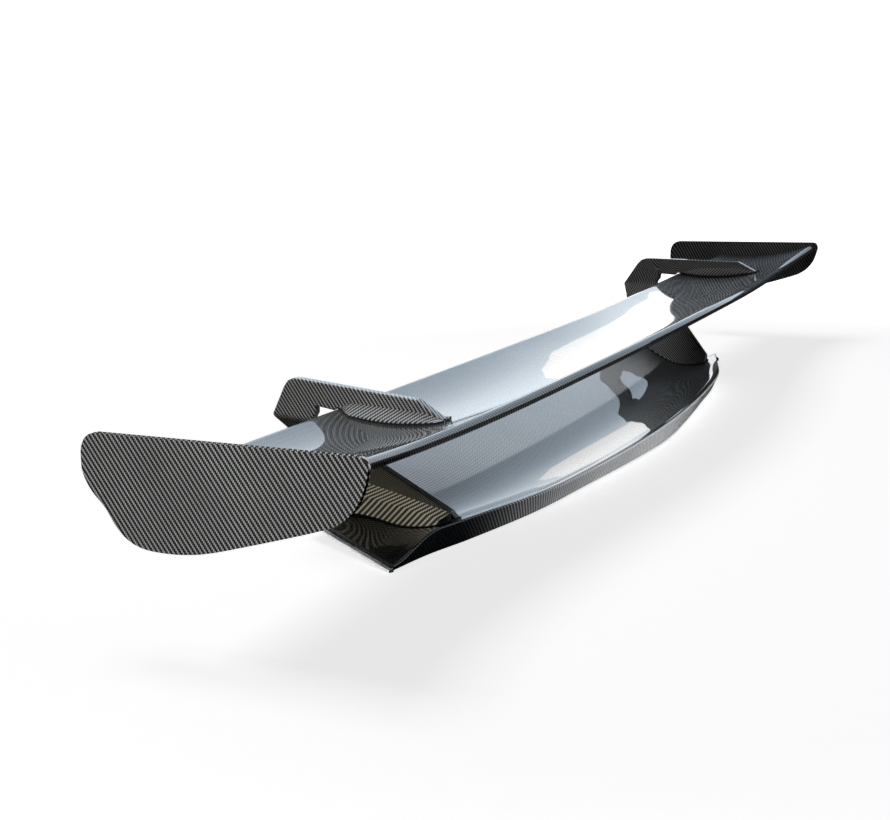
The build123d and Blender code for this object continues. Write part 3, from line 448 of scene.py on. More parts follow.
def twill(name, coord, tow=1.22, angle=10.0, mirror=False, warp_sheen=(0.36, 0.365, 0.36), dark=(0.010, 0.011, 0.012),
          weft=(0.028, 0.029, 0.031), coat=1.0, coat_rough=0.018, rough=0.42, metal=0.0, ripple=0.03, relief=0.3):
    """2x2 twill carbon under clear coat, with a painted sheen on the warp tows and painted shade towards each tow's
    edges. coord is UV, XY, XZ or YZ.
    """
    mat, nt, bsdf = nodes_of(name)
    tc = nt.nodes.new("ShaderNodeTexCoord")
    sep = nt.nodes.new("ShaderNodeSeparateXYZ")
    nt.links.new(tc.outputs["UV" if coord == "UV" else "Object"], sep.inputs[0])
    ax = {"UV": (0, 1), "XY": (0, 1), "XZ": (0, 2), "YZ": (1, 2)}[coord]
    u, v = sep.outputs[ax[0]], sep.outputs[ax[1]]
    ca, sa = math.cos(math.radians(angle)), math.sin(math.radians(angle))
    k = 1000.0 / tow
    a = math_node(nt, "ADD", math_node(nt, "MULTIPLY", u, ca * k), math_node(nt, "MULTIPLY", v, sa * k))
    b = math_node(nt, "ADD", math_node(nt, "MULTIPLY", u, -sa * k), math_node(nt, "MULTIPLY", v, ca * k))
    # slight wander of the cloth, so that the rows aren't ruler straight
    comb = nt.nodes.new("ShaderNodeCombineXYZ")
    nt.links.new(u, comb.inputs[0])
    nt.links.new(v, comb.inputs[1])
    drift = nt.nodes.new("ShaderNodeTexNoise")
    drift.inputs["Scale"].default_value = 9.0
    drift.inputs["Detail"].default_value = 1.0
    nt.links.new(comb.outputs[0], drift.inputs["Vector"])
    wob = math_node(nt, "MULTIPLY", math_node(nt, "SUBTRACT", drift.outputs[0], 0.5), 1.1)
    a = math_node(nt, "ADD", a, wob)
    fa, fb = math_node(nt, "FLOOR", a), math_node(nt, "FLOOR", b)
    ra, rb = math_node(nt, "SUBTRACT", a, fa), math_node(nt, "SUBTRACT", b, fb)
    tot = math_node(nt, "SUBTRACT" if not mirror else "ADD", fb, fa)
    m4 = math_node(nt, "FLOORED_MODULO", math_node(nt, "ADD", tot, 0.01), 4.0)
    warp = math_node(nt, "LESS_THAN", m4, 1.5)
    # along a float, 0 to 1
    pw = math_node(nt, "MULTIPLY", math_node(nt, "ADD", math_node(nt, "FLOOR", m4), rb), 0.5)
    if mirror:
        pf = math_node(nt, "MULTIPLY", math_node(nt, "ADD", math_node(nt, "SUBTRACT", math_node(nt, "FLOOR", m4), 2.0), ra), 0.5)
    else:
        pf = math_node(nt, "MULTIPLY", math_node(nt, "ADD", math_node(nt, "SUBTRACT", 3.0, math_node(nt, "FLOOR", m4)), ra), 0.5)
    across = mix_val(nt, warp, rb, ra)
    along = mix_val(nt, warp, pf, pw)
    q = math_node(nt, "SUBTRACT", math_node(nt, "MULTIPLY", across, 2.0), 1.0)
    q2 = math_node(nt, "SUBTRACT", 1.0, math_node(nt, "MULTIPLY", q, q))
    g = math_node(nt, "SUBTRACT", math_node(nt, "MULTIPLY", along, 2.0), 1.0)
    g2 = math_node(nt, "SUBTRACT", 1.0, math_node(nt, "POWER", math_node(nt, "ABSOLUTE", g), 2.6))
    round_q = math_node(nt, "POWER", math_node(nt, "MAXIMUM", q2, 0.0), 0.55)
    h = math_node(nt, "MULTIPLY", round_q, math_node(nt, "MAXIMUM", g2, 0.0))
    # fibre streaks along the tow
    fib = nt.nodes.new("ShaderNodeTexNoise")
    fib.inputs["Scale"].default_value = 1.0
    fib.inputs["Detail"].default_value = 2.0
    fc = nt.nodes.new("ShaderNodeCombineXYZ")
    nt.links.new(math_node(nt, "MULTIPLY", mix_val(nt, warp, b, a), 9.0), fc.inputs[0])
    nt.links.new(math_node(nt, "MULTIPLY", mix_val(nt, warp, a, b), 0.35), fc.inputs[1])
    nt.links.new(warp, fc.inputs[2])
    nt.links.new(fc.outputs[0], fib.inputs["Vector"])
    streak = math_node(nt, "ADD", math_node(nt, "MULTIPLY", fib.outputs[0], 0.7), 0.65)
    # a slow change of the painted sheen over the panel
    cloud = nt.nodes.new("ShaderNodeTexNoise")
    cloud.inputs["Scale"].default_value = 14.0
    cloud.inputs["Detail"].default_value = 2.0
    nt.links.new(comb.outputs[0], cloud.inputs["Vector"])
    slow = math_node(nt, "ADD", math_node(nt, "MULTIPLY", cloud.outputs[0], 0.5), 0.75)
    # painted light: each tow runs from the dark colour at its edges, a painted shade, to its crown colour, and the
    # warp crowns carry a painted sheen
    lit = math_node(nt, "MULTIPLY", math_node(nt, "MULTIPLY", h, streak), slow)
    wcol = mix_rgb(nt, lit, dark, warp_sheen)
    fcol = mix_rgb(nt, lit, dark, weft)
    col = mix_rgb(nt, warp, fcol, wcol)
    nt.links.new(col, bsdf.inputs["Base Color"])
    bsdf.inputs["Metallic"].default_value = metal
    nt.links.new(math_node(nt, "ADD", math_node(nt, "MULTIPLY", fib.outputs[0], 0.16), rough - 0.08), bsdf.inputs["Roughness"])
    bsdf.inputs["Specular IOR Level"].default_value = 0.25
    bsdf.inputs["Coat Weight"].default_value = coat
    bsdf.inputs["Coat Roughness"].default_value = coat_rough
    bsdf.inputs["Coat IOR"].default_value = 1.5
    bump = nt.nodes.new("ShaderNodeBump")
    bump.inputs["Strength"].default_value = relief
    bump.inputs["Distance"].default_value = 0.00022
    nt.links.new(h, bump.inputs["Height"])
    nt.links.new(bump.outputs[0], bsdf.inputs["Normal"])
    # the coat follows the cloth only faintly
    cb = nt.nodes.new("ShaderNodeBump")
    cb.inputs["Strength"].default_value = ripple
    cb.inputs["Distance"].default_value = 0.00002
    nt.links.new(h, cb.inputs["Height"])
    nt.links.new(cb.outputs[0], bsdf.inputs["Coat Normal"])
    return mat


def grainy(name, colour, colour2, scale, rough, rough_var=0.15, metal=0.0, bump=0.15, dist=0.0001, stretch=(1, 1, 1), spec=0.5, detail=4.0):
    mat, nt, bsdf = nodes_of(name)
    tc = nt.nodes.new("ShaderNodeTexCoord")
    mp = nt.nodes.new("ShaderNodeMapping")
    mp.inputs["Scale"].default_value = stretch
    nt.links.new(tc.outputs["Object"], mp.inputs[0])
    ns = nt.nodes.new("ShaderNodeTexNoise")
    ns.inputs["Scale"].default_value = scale
    ns.inputs["Detail"].default_value = detail
    nt.links.new(mp.outputs[0], ns.inputs["Vector"])
    big = nt.nodes.new("ShaderNodeTexNoise")
    big.inputs["Scale"].default_value = scale * 0.07
    nt.links.new(mp.outputs[0], big.inputs["Vector"])
    f = math_node(nt, "ADD", math_node(nt, "MULTIPLY", ns.outputs[0], 0.65), math_node(nt, "MULTIPLY", big.outputs[0], 0.35))
    nt.links.new(mix_rgb(nt, f, colour, colour2), bsdf.inputs["Base Color"])
    nt.links.new(math_node(nt, "ADD", math_node(nt, "MULTIPLY", ns.outputs[0], rough_var), rough - rough_var * 0.5), bsdf.inputs["Roughness"])
    bsdf.inputs["Metallic"].default_value = metal
    bsdf.inputs["Specular IOR Level"].default_value = spec
    bp = nt.nodes.new("ShaderNodeBump")
    bp.inputs["Strength"].default_value = bump
    bp.inputs["Distance"].default_value = dist
    nt.links.new(ns.outputs[0], bp.inputs["Height"])
    nt.links.new(bp.outputs[0], bsdf.inputs["Normal"])
    return mat


# the warp colour below is a painted sheen, set stronger on the plates and feet and weaker on the wing and base for how
# light falls on each
carbon_wing = twill("carbon_wing", "UV", angle=17.0, warp_sheen=(0.24, 0.244, 0.25), weft=(0.012, 0.013, 0.014), dark=(0.003, 0.003, 0.004), ripple=0.01)
carbon_base = twill("carbon_base", "UV", angle=-15.0, mirror=True, warp_sheen=(0.22, 0.225, 0.23), weft=(0.014, 0.015, 0.016), dark=(0.003, 0.003, 0.004), ripple=0.01)
carbon_plate = twill("carbon_plate", "UV", angle=10.0, warp_sheen=(0.50, 0.505, 0.50), weft=(0.020, 0.021, 0.022), dark=(0.006, 0.006, 0.007))
carbon_foot = twill("carbon_foot", "UV", angle=-10.0, mirror=True, warp_sheen=(0.46, 0.465, 0.46), weft=(0.020, 0.021, 0.022), dark=(0.006, 0.006, 0.007))
carbon_under = twill("carbon_under", "XY", coat_rough=0.05)
carbon_matt = twill("carbon_matt_inside", "XY", coat=0.25, coat_rough=0.4, rough=0.6, warp_sheen=(0.10, 0.10, 0.10))
rubber = grainy("gasket_rubber", (0.010, 0.010, 0.010), (0.022, 0.022, 0.022), 900.0, 0.72, bump=0.35, dist=0.00012)
seal = grainy("seal_rubber", (0.66, 0.66, 0.66), (0.76, 0.76, 0.755), 700.0, 0.6, bump=0.25, dist=0.0001)
tape = grainy("tape", (0.05, 0.05, 0.052), (0.085, 0.085, 0.088), 500.0, 0.8, bump=0.4, dist=0.00015)
alu = grainy("aluminium", (0.56, 0.57, 0.58), (0.68, 0.68, 0.69), 260.0, 0.34, metal=1.0, bump=0.12, stretch=(0.25, 4, 4))
steel = grainy("steel", (0.40, 0.40, 0.41), (0.52, 0.52, 0.52), 420.0, 0.3, metal=1.0, bump=0.15)
brass = grainy("brass", (0.60, 0.43, 0.17), (0.72, 0.54, 0.25), 380.0, 0.32, metal=1.0, bump=0.15)
adhesive = grainy("adhesive", (0.012, 0.012, 0.012), (0.03, 0.03, 0.03), 300.0, 0.4, bump=0.3, dist=0.0002)
core = grainy("core_plastic", (0.05, 0.052, 0.055), (0.085, 0.087, 0.09), 650.0, 0.65, bump=0.4, dist=0.0002)

# ---------------------------------------------------------------- CAD nodes that stay: better materials in their slots
keep = {
    "wing_lower_skin": carbon_under, "base_lower_pan": carbon_matt, "wing_main_spar": alu, "wing_rear_spar": core,
    "centre_base_block": core, "centre_lid_inserts": brass, "base_stiffeners": core, "base_tape_strips": tape,
}
for sd in ("left_", "right_"):
    keep.update({
        sd + "end_rib": core, sd + "end_plate_bond": adhesive, sd + "end_plate_dowels": steel,
        sd + "wing_hardpoint": alu, sd + "wing_gasket": rubber, sd + "wing_screws": steel, sd + "neck_core": core,
        sd + "base_gasket": rubber, sd + "neck_bolts": steel, sd + "neck_bolt_washers": steel, sd + "base_block": core,
        sd + "lid_inserts": brass,
    })
for n, mt in keep.items():
    o = frame["nodes"][n]
    if not o.material_slots:
        o.data.materials.append(mt)
    for sl in o.material_slots:
        sl.material = mt

# ---------------------------------------------------------------- wing upper skin
xs = list(np.arange(-695.5, 695.6, 1391.0 / 278))
s_out = [0.05 * (i / 12.0) ** 2 for i in range(12)] + list(np.linspace(0.05, 0.95, 46))


def arc3(a, b, c, n):
    """n points after a on the circle through a, b, c, ending at c."""
    ax_, ay_ = a
    bx_, by_ = b
    cx_, cy_ = c
    d = 2 * (ax_ * (by_ - cy_) + bx_ * (cy_ - ay_) + cx_ * (ay_ - by_))
    ux = ((ax_ ** 2 + ay_ ** 2) * (by_ - cy_) + (bx_ ** 2 + by_ ** 2) * (cy_ - ay_) + (cx_ ** 2 + cy_ ** 2) * (ay_ - by_)) / d
    uy = ((ax_ ** 2 + ay_ ** 2) * (cx_ - bx_) + (bx_ ** 2 + by_ ** 2) * (ax_ - cx_) + (cx_ ** 2 + cy_ ** 2) * (bx_ - ax_)) / d
    r = math.hypot(ax_ - ux, ay_ - uy)
    t0 = math.atan2(ay_ - uy, ax_ - ux)
    t1 = math.atan2(by_ - uy, bx_ - ux)
    t2 = math.atan2(cy_ - uy, cx_ - ux)
    while t1 < t0:
        t1 += 2 * math.pi
    while t2 < t0:
        t2 += 2 * math.pi
    if t2 < t1:
        t0 += 2 * math.pi
        t1 = math.atan2(by_ - uy, bx_ - ux) + 2 * math.pi
        t2 = math.atan2(cy_ - uy, cx_ - ux)
        while t1 > t0:
            t1 -= 2 * math.pi
        while t2 > t1:
            t2 -= 2 * math.pi
    return [(ux + r * math.cos(t0 + (t2 - t0) * k / n), uy + r * math.sin(t0 + (t2 - t0) * k / n)) for k in range(1, n + 1)]


rings, uvs = [], []
for x in xs:
    yl, zl, yt, zt = wing_at(x)
    ring = [(wy(x, s), top_z(x, s)) for s in s_out]
    ring += arc3(ring[-1], (yt + 1.6, top_z(x, 0.95) - 0.4), (yt, zt + 4.2), 9)
    ring += [(yt, zt + 3.0), (yt, zt + 1.95), (yt + 0.12, zt + SKIN_T)]
    n_out = len(ring)
    ring += [(yt + 2.6, zt + SKIN_T), (yt + 2.6, zt + 4.4)]
    ring += [(wy(x, s), top_z(x, s) - SKIN_T) for s in (0.94, 0.86, 0.72, 0.56, 0.4, 0.24, 0.12, 0.05)]
    ring += [(yl - 2.2, zl)]
    arc = 0.0
    prev = ring[0]
    for i, p in enumerate(ring):
        arc += math.hypot(p[0] - prev[0], p[1] - prev[1])
        prev = p
        uvs.append((x, arc - (yl - 100.0)))
    rings.append([(x, a, b) for a, b in ring])
v, f = rings_to_mesh(rings)
piece("wing_top", v, f, uvs, carbon_wing, ["wing_upper_skin"], flip=False, sharp=38.0, weighted=False)

# ---------------------------------------------------------------- end plates
plate_line = catmull(PLATE, 1.6)[::-1]
for side, nm in ((-1, "left"), (1, "right")):
    v, f, uv, fl = thick_plate(plate_line[::-1], lambda a, b: 700.0, 4.0, 1.75, 6, side)
    piece(nm + "_plate", v, f, uv, carbon_plate, [nm + "_end_plate"], flip=fl, sharp=50.0)


# ---------------------------------------------------------------- necks
def neck_x(y, z):
    t, w = z - KINK_Z, 3.0
    if t >= w:
        g = LEAN_UP * t
    elif t <= -w:
        g = LEAN_DOWN * t
    else:
        g = 0.5 * (LEAN_UP + LEAN_DOWN) * t - (LEAN_DOWN - LEAN_UP) / (4 * w) * t * t - (LEAN_DOWN - LEAN_UP) / 4 * w
    return KX - TOE * (y - KY) + g


def wing_contact(y, dx=-4.5):
    z = -26.0
    for _ in range(4):
        x = neck_x(y, z) + dx
        yl, zl, yt, zt = wing_at(x)
        z = top_z(x, min(max((yl - y) / (yl - yt), 0.0), 0.95)) + 1.5
    return z


def base_contact(y, dx=-4.5):
    z = -120.0
    for _ in range(8):
        z = base_z(neck_x(y, z) + dx, y) + 0.5
    return z


ys_w = np.linspace(43.0, 150.8, 16)
ys_b = np.linspace(89.5, 197.5, 16)
neck = [(226.0, -36.0, 3.5), (208.0, -8.5, 6.0), (203.0, -3.2, 6.0), (197.0, -0.9, 6.0), (190.0, -0.9, 3.0),
        (68.4, -6.6, 4.0), (42.2, -21.6, 1.2), (42.0, wing_contact(42.0), 0.0)]
neck += [(y, wing_contact(y), 0.0) for y in ys_w]
neck += [(152.6, wing_contact(151.5) - 0.6, 0.8), (155.0, -24.6, 1.2), (175.5, -22.6, 2.4), (176.5, -30.0, 3.0), (181.3, -36.0, 4.0),
         (88.4, -125.2, 1.7), (87.4, base_contact(88.0), 1.2)]
neck += [(y, base_contact(y), 0.0) for y in ys_b]
neck += [(199.0, base_contact(198.5), 1.2), (199.0, -104.0, 12.0), (207.0, -76.0, 12.0), (219.0, -49.0, 12.0)]
neck_line = densify(round_corners([p[:2] for p in neck], [p[2] for p in neck], 6), 5.0, 1.1, (-44.0, -28.0))
lv = []
front = [i for i, p in enumerate(neck_line) if p[0] > 205 and -46 < p[1] < -26]
inner = [i for i, p in enumerate(neck_line) if 165 < p[0] < 186 and -46 < p[1] < -24.5]
for z in (-32.0, -33.5, -34.8, -36.0, -37.2, -38.5, -40.0):
    i = min(front, key=lambda k: abs(neck_line[k][1] - z))
    j = min(inner, key=lambda k: abs(neck_line[k][1] - z))
    if (i, j) not in lv and i not in [a for a, b in lv] and j not in [b for a, b in lv]:
        lv.append((i, j))


def neck_uv(y, z):
    t = z - KINK_Z
    return (y * 1.02, t * (1.007 if t > 0 else 1.384))


def foot_mesh(rows, fx0, y_list, trim, contact0, side, face=0.0, way=1.0):
    """Flared foot as a loft of rounded sections along Y; way -1 puts it on the inner face."""
    def fx(y, z):
        return way * (fx0(y, z) + face)

    def contact(x, y):
        return contact0(way * x, y)

    rings_, uv_ = [], []
    for y in y_list:
        i = 0
        while i < len(rows) - 2 and y < rows[i + 1][0]:
            i += 1
        (ya, za, ra, da), (yb, zb, rb, db) = rows[i], rows[i + 1]
        w = (y - yb) / (ya - yb)
        zt, reach, drop = zb + (za - zb) * w, rb + (ra - rb) * w, db + (da - db) * w
        b = fx(y, zt)
        lim = trim(y)
        x1 = min(b + reach, max(lim, b + 0.05))
        z1 = zt - drop * (x1 - b) / reach
        zb1 = contact(min(x1 + 1.0, max(lim, b + 0.1)), y)
        x2 = min(b + reach + 2.0 * min(1.0, max(0.0, (z1 - zb1) / 8.0)), max(lim, b + 0.1))
        zb0 = contact(b - 2.6, y)
        zmin = min(zb0, zb1)
        poly = [(b - 2.6, zt - 0.35), (b, zt), (x1, z1), (x2, zb1), (b - 2.6, zb0)]
        if zt - zmin < 0.6:
            poly = [(b - 2.6, zmin + 0.6), (b, zmin + 0.6), (x1, zmin + 0.4), (x2, zb1), (b - 2.6, zb0)]
        ring = round_corners(poly, [0.4, 1.2, 1.3, 0.6, 0.3], 5)
        arc, prev, ru = 0.0, ring[0], []
        for p in ring:
            arc += math.hypot(p[0] - prev[0], p[1] - prev[1])
            prev = p
            ru.append((y, -arc))
        rings_.append([(p[0] * side * way, y, p[1]) for p in ring])
        uv_ += ru
    vv, ff = rings_to_mesh(rings_)
    return vv, ff, uv_


def fin_contact(x, y):
    yl, zl, yt, zt = wing_at(x)
    return top_z(x, min(max((yl - y) / (yl - yt), 0.0), 0.95)) + 1.5


def pyl_contact(x, y):
    return base_z(x, y) + 0.5


def fin_trim(y):
    return 900.0


def foot_trim(y):
    if y < 88.3:
        return 407.0
    if y < 99.5:
        return 407.0 + (y - 88.3) * 17.0 / 11.2
    return 900.0


for side, nm in ((-1, "left"), (1, "right")):
    v, f, uv, fl = thick_plate(neck_line, neck_x, NECK_T, 1.25, 5, side, lv, neck_uv)
    piece(nm + "_neck", v, f, uv, carbon_plate,
          [nm + "_neck_outer_shell", nm + "_neck_inner_shell"], flip=fl, sharp=50.0)
    yy = [42.8, 44.2, 46.0, 49.0, 53.0, 57.0, 60.5, 62.0, 63.5] + list(np.linspace(69.0, 128.0, 14)) + [129.8, 130.7, 131.6, 134.0, 136.8, 137.6, 138.4, 141.0, 144.0, 146.5, 148.3]
    v, f, uv = foot_mesh(FIN_FOOT, neck_x, yy, fin_trim, fin_contact, side)
    piece(nm + "_fin_foot", v, f, uv, carbon_foot, [], flip=side > 0, sharp=40.0)
    yy = [43.2, 47.0, 52.0, 58.0, 64.0, 66.0, 68.0] + list(np.linspace(74.0, 120.0, 10)) + [122.5, 124.0, 125.5, 129.0, 134.0, 139.0, 142.8]
    v, f, uv = foot_mesh(FIN_FOOT_IN, neck_x, yy, fin_trim, fin_contact, side, -NECK_T, -1.0)
    piece(nm + "_fin_inner_foot", v, f, uv, carbon_foot, [], sharp=40.0)
    yy = [88.7, 91.0, 94.0, 97.0, 99.5] + list(np.linspace(104.0, 198.6, 20))
    v, f, uv = foot_mesh(BASE_FOOT, neck_x, yy, foot_trim, pyl_contact, side)
    piece(nm + "_pylon_foot", v, f, uv, carbon_foot, [], flip=side > 0, sharp=40.0)


# ---------------------------------------------------------------- base cover
def end_x(u):
    lo_, hi_ = 400.0, 520.0
    for _ in range(40):
        mid = 0.5 * (lo_ + hi_)
        y = lip_y(mid) + u * (FRONT_Y - lip_y(mid))
        if end_gap(mid, y) > 0:
            lo_ = mid
        else:
            hi_ = mid
    return 0.5 * (lo_ + hi_)


def cover_z(x, y):
    z = base_z(x, y)
    g = end_gap(x, y)
    if g < 1.3:
        g = max(g, 0.0)
        z -= 1.3 - math.sqrt(max(1.69 - (1.3 - g) ** 2, 0.0))
    return z


us = [0.0, 0.015, 0.03] + list(np.linspace(0.05, 1.0, 58))
ex = [end_x(u) for u in us]
tpos = [1.0, 0.9997, 0.9991, 0.998, 0.9968, 0.995, 0.992, 0.988, 0.983, 0.977, 0.97] + list(np.linspace(0.96, 0.0, 66))
ts = [-t for t in tpos] + [t for t in tpos[::-1] if t > 0]
rings, uvs = [], []
for t in ts:
    top, inn = [], []
    for u, e in zip(us, ex):
        x = t * e
        y = lip_y(x) + u * (FRONT_Y - lip_y(x))
        top.append((x, y, cover_z(x, y)))
        inn.append((x, y, max(base_z(x, y) - 2.4, pan_z(y) + 1.85)))
    xl = top[0][0]
    # rear face, from its foot up to the lip, with a rounded lip
    fy, ly, lz = foot_y(xl), lip_y(xl), top[0][2]
    rr = 1.5
    ring = []
    zf = -150.0
    ring.append((xl, fy + 0.5, zf))
    ring.append((xl, fy + 0.12, zf + 0.15))
    ring.append((xl, fy, zf + 0.6))
    hgt = max(lz - zf, 0.01)
    for k in range(1, 6):
        w = k / 6.0
        ring.append((xl, fy + (ly - fy) * w, zf + 0.6 + (hgt - 0.6 - rr) * w))
    for k in range(0, 6):
        th = 0.5 * math.pi * k / 6
        ring.append((xl, ly + rr * (1 - math.cos(th)), lz - rr + rr * math.sin(th)))
    for p in top:
        if p[1] >= ly + rr - 1e-6 and p[1] <= FRONT_Y - 1.2:
            ring.append(p)
    keep_n = len(ring)
    # pad so that every ring has the same count
    want = 14 + 58 - 1
    while len(ring) < want:
        ring.append(ring[-1])
    while len(ring) > want:
        ring.pop(14)
    xf, yf, zfz = top[-1]
    pz = pan_z(FRONT_Y)
    for k in range(1, 6):
        th = 0.5 * math.pi * k / 5
        ring.append((xf, FRONT_Y - 1.1 + 1.1 * math.sin(th), zfz - 1.1 * (1 - math.cos(th))))
    ring.append((xf, FRONT_Y, 0.5 * (zfz + pz)))
    ring.append((xf, FRONT_Y, pz + 0.4))
    ring.append((xf, FRONT_Y - 0.3, pz))
    ring.append((xf, FRONT_Y - 2.4, pz + 0.2))
    ring.append((xf, FRONT_Y - 2.4, max(zfz - 2.4, pz + 0.4)))
    for p in inn[::-3][1:]:
        if ly + 3.2 < p[1] < FRONT_Y - 3.0:
            ring.append(p)
    want = 14 + 57 + 10 + 18
    while len(ring) < want:
        ring.append(ring[-1])
    while len(ring) > want:
        ring.pop(-1)
    ring.append((xl, ly + 2.6, min(max(lz - 2.4, zf + 0.4), lz)))
    ring.append((xl, fy + 2.6, zf))
    arc, prev = 0.0, ring[0]
    for p in ring:
        arc += math.dist(p, prev)
        prev = p
        uvs.append((p[0], arc))
    rings.append(ring)
v, f = rings_to_mesh(rings)
piece("base_cover", v, f, uvs, carbon_base, ["base_upper_skin"], flip=True, sharp=38.0, weighted=False)

# ---------------------------------------------------------------- edge seals
(xa, ya), (xb, yb) = END_EDGE
ln = math.hypot(xb - xa, yb - ya)
ox, oy = (yb - ya) / ln, -(xb - xa) / ln
for side, nm in ((-1, "left"), (1, "right")):
    rings, uvs = [], []
    for y in np.linspace(96.1, 213.6, 40):
        x = xa + (xb - xa) * (y - ya) / (yb - ya)
        pz = pan_z(y)
        sec = round_corners([(0.1, -0.78), (4.9, -0.78), (4.9, 1.55), (0.1, 1.55)], [0.3, 0.9, 0.9, 0.3], 5)
        ring = []
        arc = 0.0
        prev = sec[0]
        for a, b in sec:
            arc += math.hypot(a - prev[0], b - prev[1])
            prev = (a, b)
            ring.append(((x + ox * a) * side, y + oy * a, pz + b))
            uvs.append((y, arc))
        rings.append(ring)
    v, f = rings_to_mesh(rings)
    piece(nm + "_seal", v, f, uvs, seal, [nm + "_edge_seal"], flip=side < 0, sharp=50.0)

# ---------------------------------------------------------------- floor, lights, sky
fv = [(-30, -30, -0.0006), (30, -30, -0.0006), (30, 30, -0.0006), (-30, 30, -0.0006)]
fme = bpy.data.meshes.new("floor")
fme.from_pydata(fv, [], [(0, 1, 2, 3)])
floor = bpy.data.objects.new("floor", fme)
scene.collection.objects.link(floor)
fmat, nt, bsdf = nodes_of("floor_paper")
bsdf.inputs["Base Color"].default_value = (0.80, 0.80, 0.80, 1)
bsdf.inputs["Roughness"].default_value = 0.9
bsdf.inputs["Specular IOR Level"].default_value = 0.0
bsdf.inputs["Emission Color"].default_value = (1, 1, 1, 1)
tcf = nt.nodes.new("ShaderNodeTexCoord")
dist = nt.nodes.new("ShaderNodeVectorMath")
dist.operation = "LENGTH"
nt.links.new(tcf.outputs["Object"], dist.inputs[0])
far_off = nt.nodes.new("ShaderNodeMapRange")
far_off.interpolation_type = "SMOOTHSTEP"
nt.links.new(dist.outputs["Value"], far_off.inputs[0])
for i, q in zip((1, 2, 3, 4), (0.75, 1.5, 0.80, 1.30)):
    far_off.inputs[i].default_value = q
paper = nt.nodes.new("ShaderNodeTexNoise")
paper.inputs["Scale"].default_value = 60.0
paper.inputs["Detail"].default_value = 3.0
nt.links.new(tcf.outputs["Object"], paper.inputs["Vector"])
nt.links.new(math_node(nt, "MULTIPLY", far_off.outputs[0], math_node(nt, "ADD", math_node(nt, "MULTIPLY", paper.outputs[0], 0.02), 0.99)),
             bsdf.inputs["Emission Strength"])
fme.materials.append(fmat)
floor.visible_glossy = False
floor.visible_diffuse = False


def area(name, loc, target, size, power, colour=(1, 1, 1), size_y=None, glossy=True):
    ld = bpy.data.lights.new(name, "AREA")
    ld.shape = "RECTANGLE"
    ld.size = size
    ld.size_y = size_y or size
    ld.energy = power
    ld.color = colour
    ob = bpy.data.objects.new(name, ld)
    scene.collection.objects.link(ob)
    ob.location = loc
    ob.rotation_mode = "QUATERNION"
    ob.rotation_quaternion = (Vector(target) - Vector(loc)).to_track_quat("-Z", "Y")
    ob.visible_camera = False
    ob.visible_glossy = glossy
    return ob


area("top", (-0.3, 1.0, 2.6), (0.0, 0.0, 0.0), 1.3, 21.0, glossy=False)
sl = bpy.data.lights.new("key", "SPOT")
sl.energy = 175.0
sl.spot_size = math.radians(27.0)
sl.spot_blend = 1.0
sl.shadow_soft_size = 0.22
sl.color = (1.0, 0.995, 0.98)
key = bpy.data.objects.new("key", sl)
scene.collection.objects.link(key)
key.location = (-2.1, -0.40, 1.30)
key.rotation_mode = "QUATERNION"
key.rotation_quaternion = (Vector((-0.62, 0.02, 0.12)) - Vector(key.location)).to_track_quat("-Z", "Y")
key.visible_camera = False
key.visible_glossy = False
lit = bpy.data.collections.new("key_lights")
for o in scene.objects:
    if o.type == "MESH" and o.name not in ("floor", "base_cover", "left_pylon_foot"):
        lit.objects.link(o)
key.light_linking.receiver_collection = lit

# panels seen only in the gloss
def glow(name, verts, colour, strength):
    pme = bpy.data.meshes.new(name)
    pme.from_pydata(verts, [], [tuple(range(len(verts)))])
    pobj = bpy.data.objects.new(name, pme)
    scene.collection.objects.link(pobj)
    pm = bpy.data.materials.new(name)
    pm.use_nodes = True
    pnt = pm.node_tree
    pnt.nodes.clear()
    po = pnt.nodes.new("ShaderNodeOutputMaterial")
    pe = pnt.nodes.new("ShaderNodeEmission")
    pe.inputs["Color"].default_value = (*colour, 1.0)
    pe.inputs["Strength"].default_value = strength
    pnt.links.new(pe.outputs[0], po.inputs["Surface"])
    pme.materials.append(pm)
    pobj.visible_camera = False
    pobj.visible_diffuse = False
    pobj.visible_shadow = False
    return pobj


panel = [(335, 159), (349, 223), (385, 294), (429, 296), (480, 316), (557, 391), (627, 438), (693, 450),
         (773, 371), (785, 269), (753, 180), (646, 150), (484, 165), (430, 152), (375, 145)]
glow("white_panel", [(1.5, a / 1000.0, b / 1000.0) for a, b in panel], (1.0, 1.0, 1.0), 1.95)
glow("black_flag", [(1.52, -0.6, -0.1), (1.52, 0.33, -0.1), (1.52, 0.33, 0.365), (1.52, -0.6, 0.365)], (1.0, 1.0, 1.0), 0.012)


def spot(name, loc, target, energy, colour, cone, only):
    ld = bpy.data.lights.new(name, "SPOT")
    ld.energy = energy
    ld.spot_size = math.radians(cone)
    ld.spot_blend = 0.8
    ld.shadow_soft_size = 0.08
    ld.color = colour
    ob = bpy.data.objects.new(name, ld)
    scene.collection.objects.link(ob)
    ob.location = loc
    ob.rotation_mode = "QUATERNION"
    ob.rotation_quaternion = (Vector(target) - Vector(loc)).to_track_quat("-Z", "Y")
    ob.visible_camera = False
    ob.visible_glossy = False
    col = bpy.data.collections.new(name + "_lights")
    for nm_ in only:
        col.objects.link(bpy.data.objects[nm_])
    ob.light_linking.receiver_collection = col


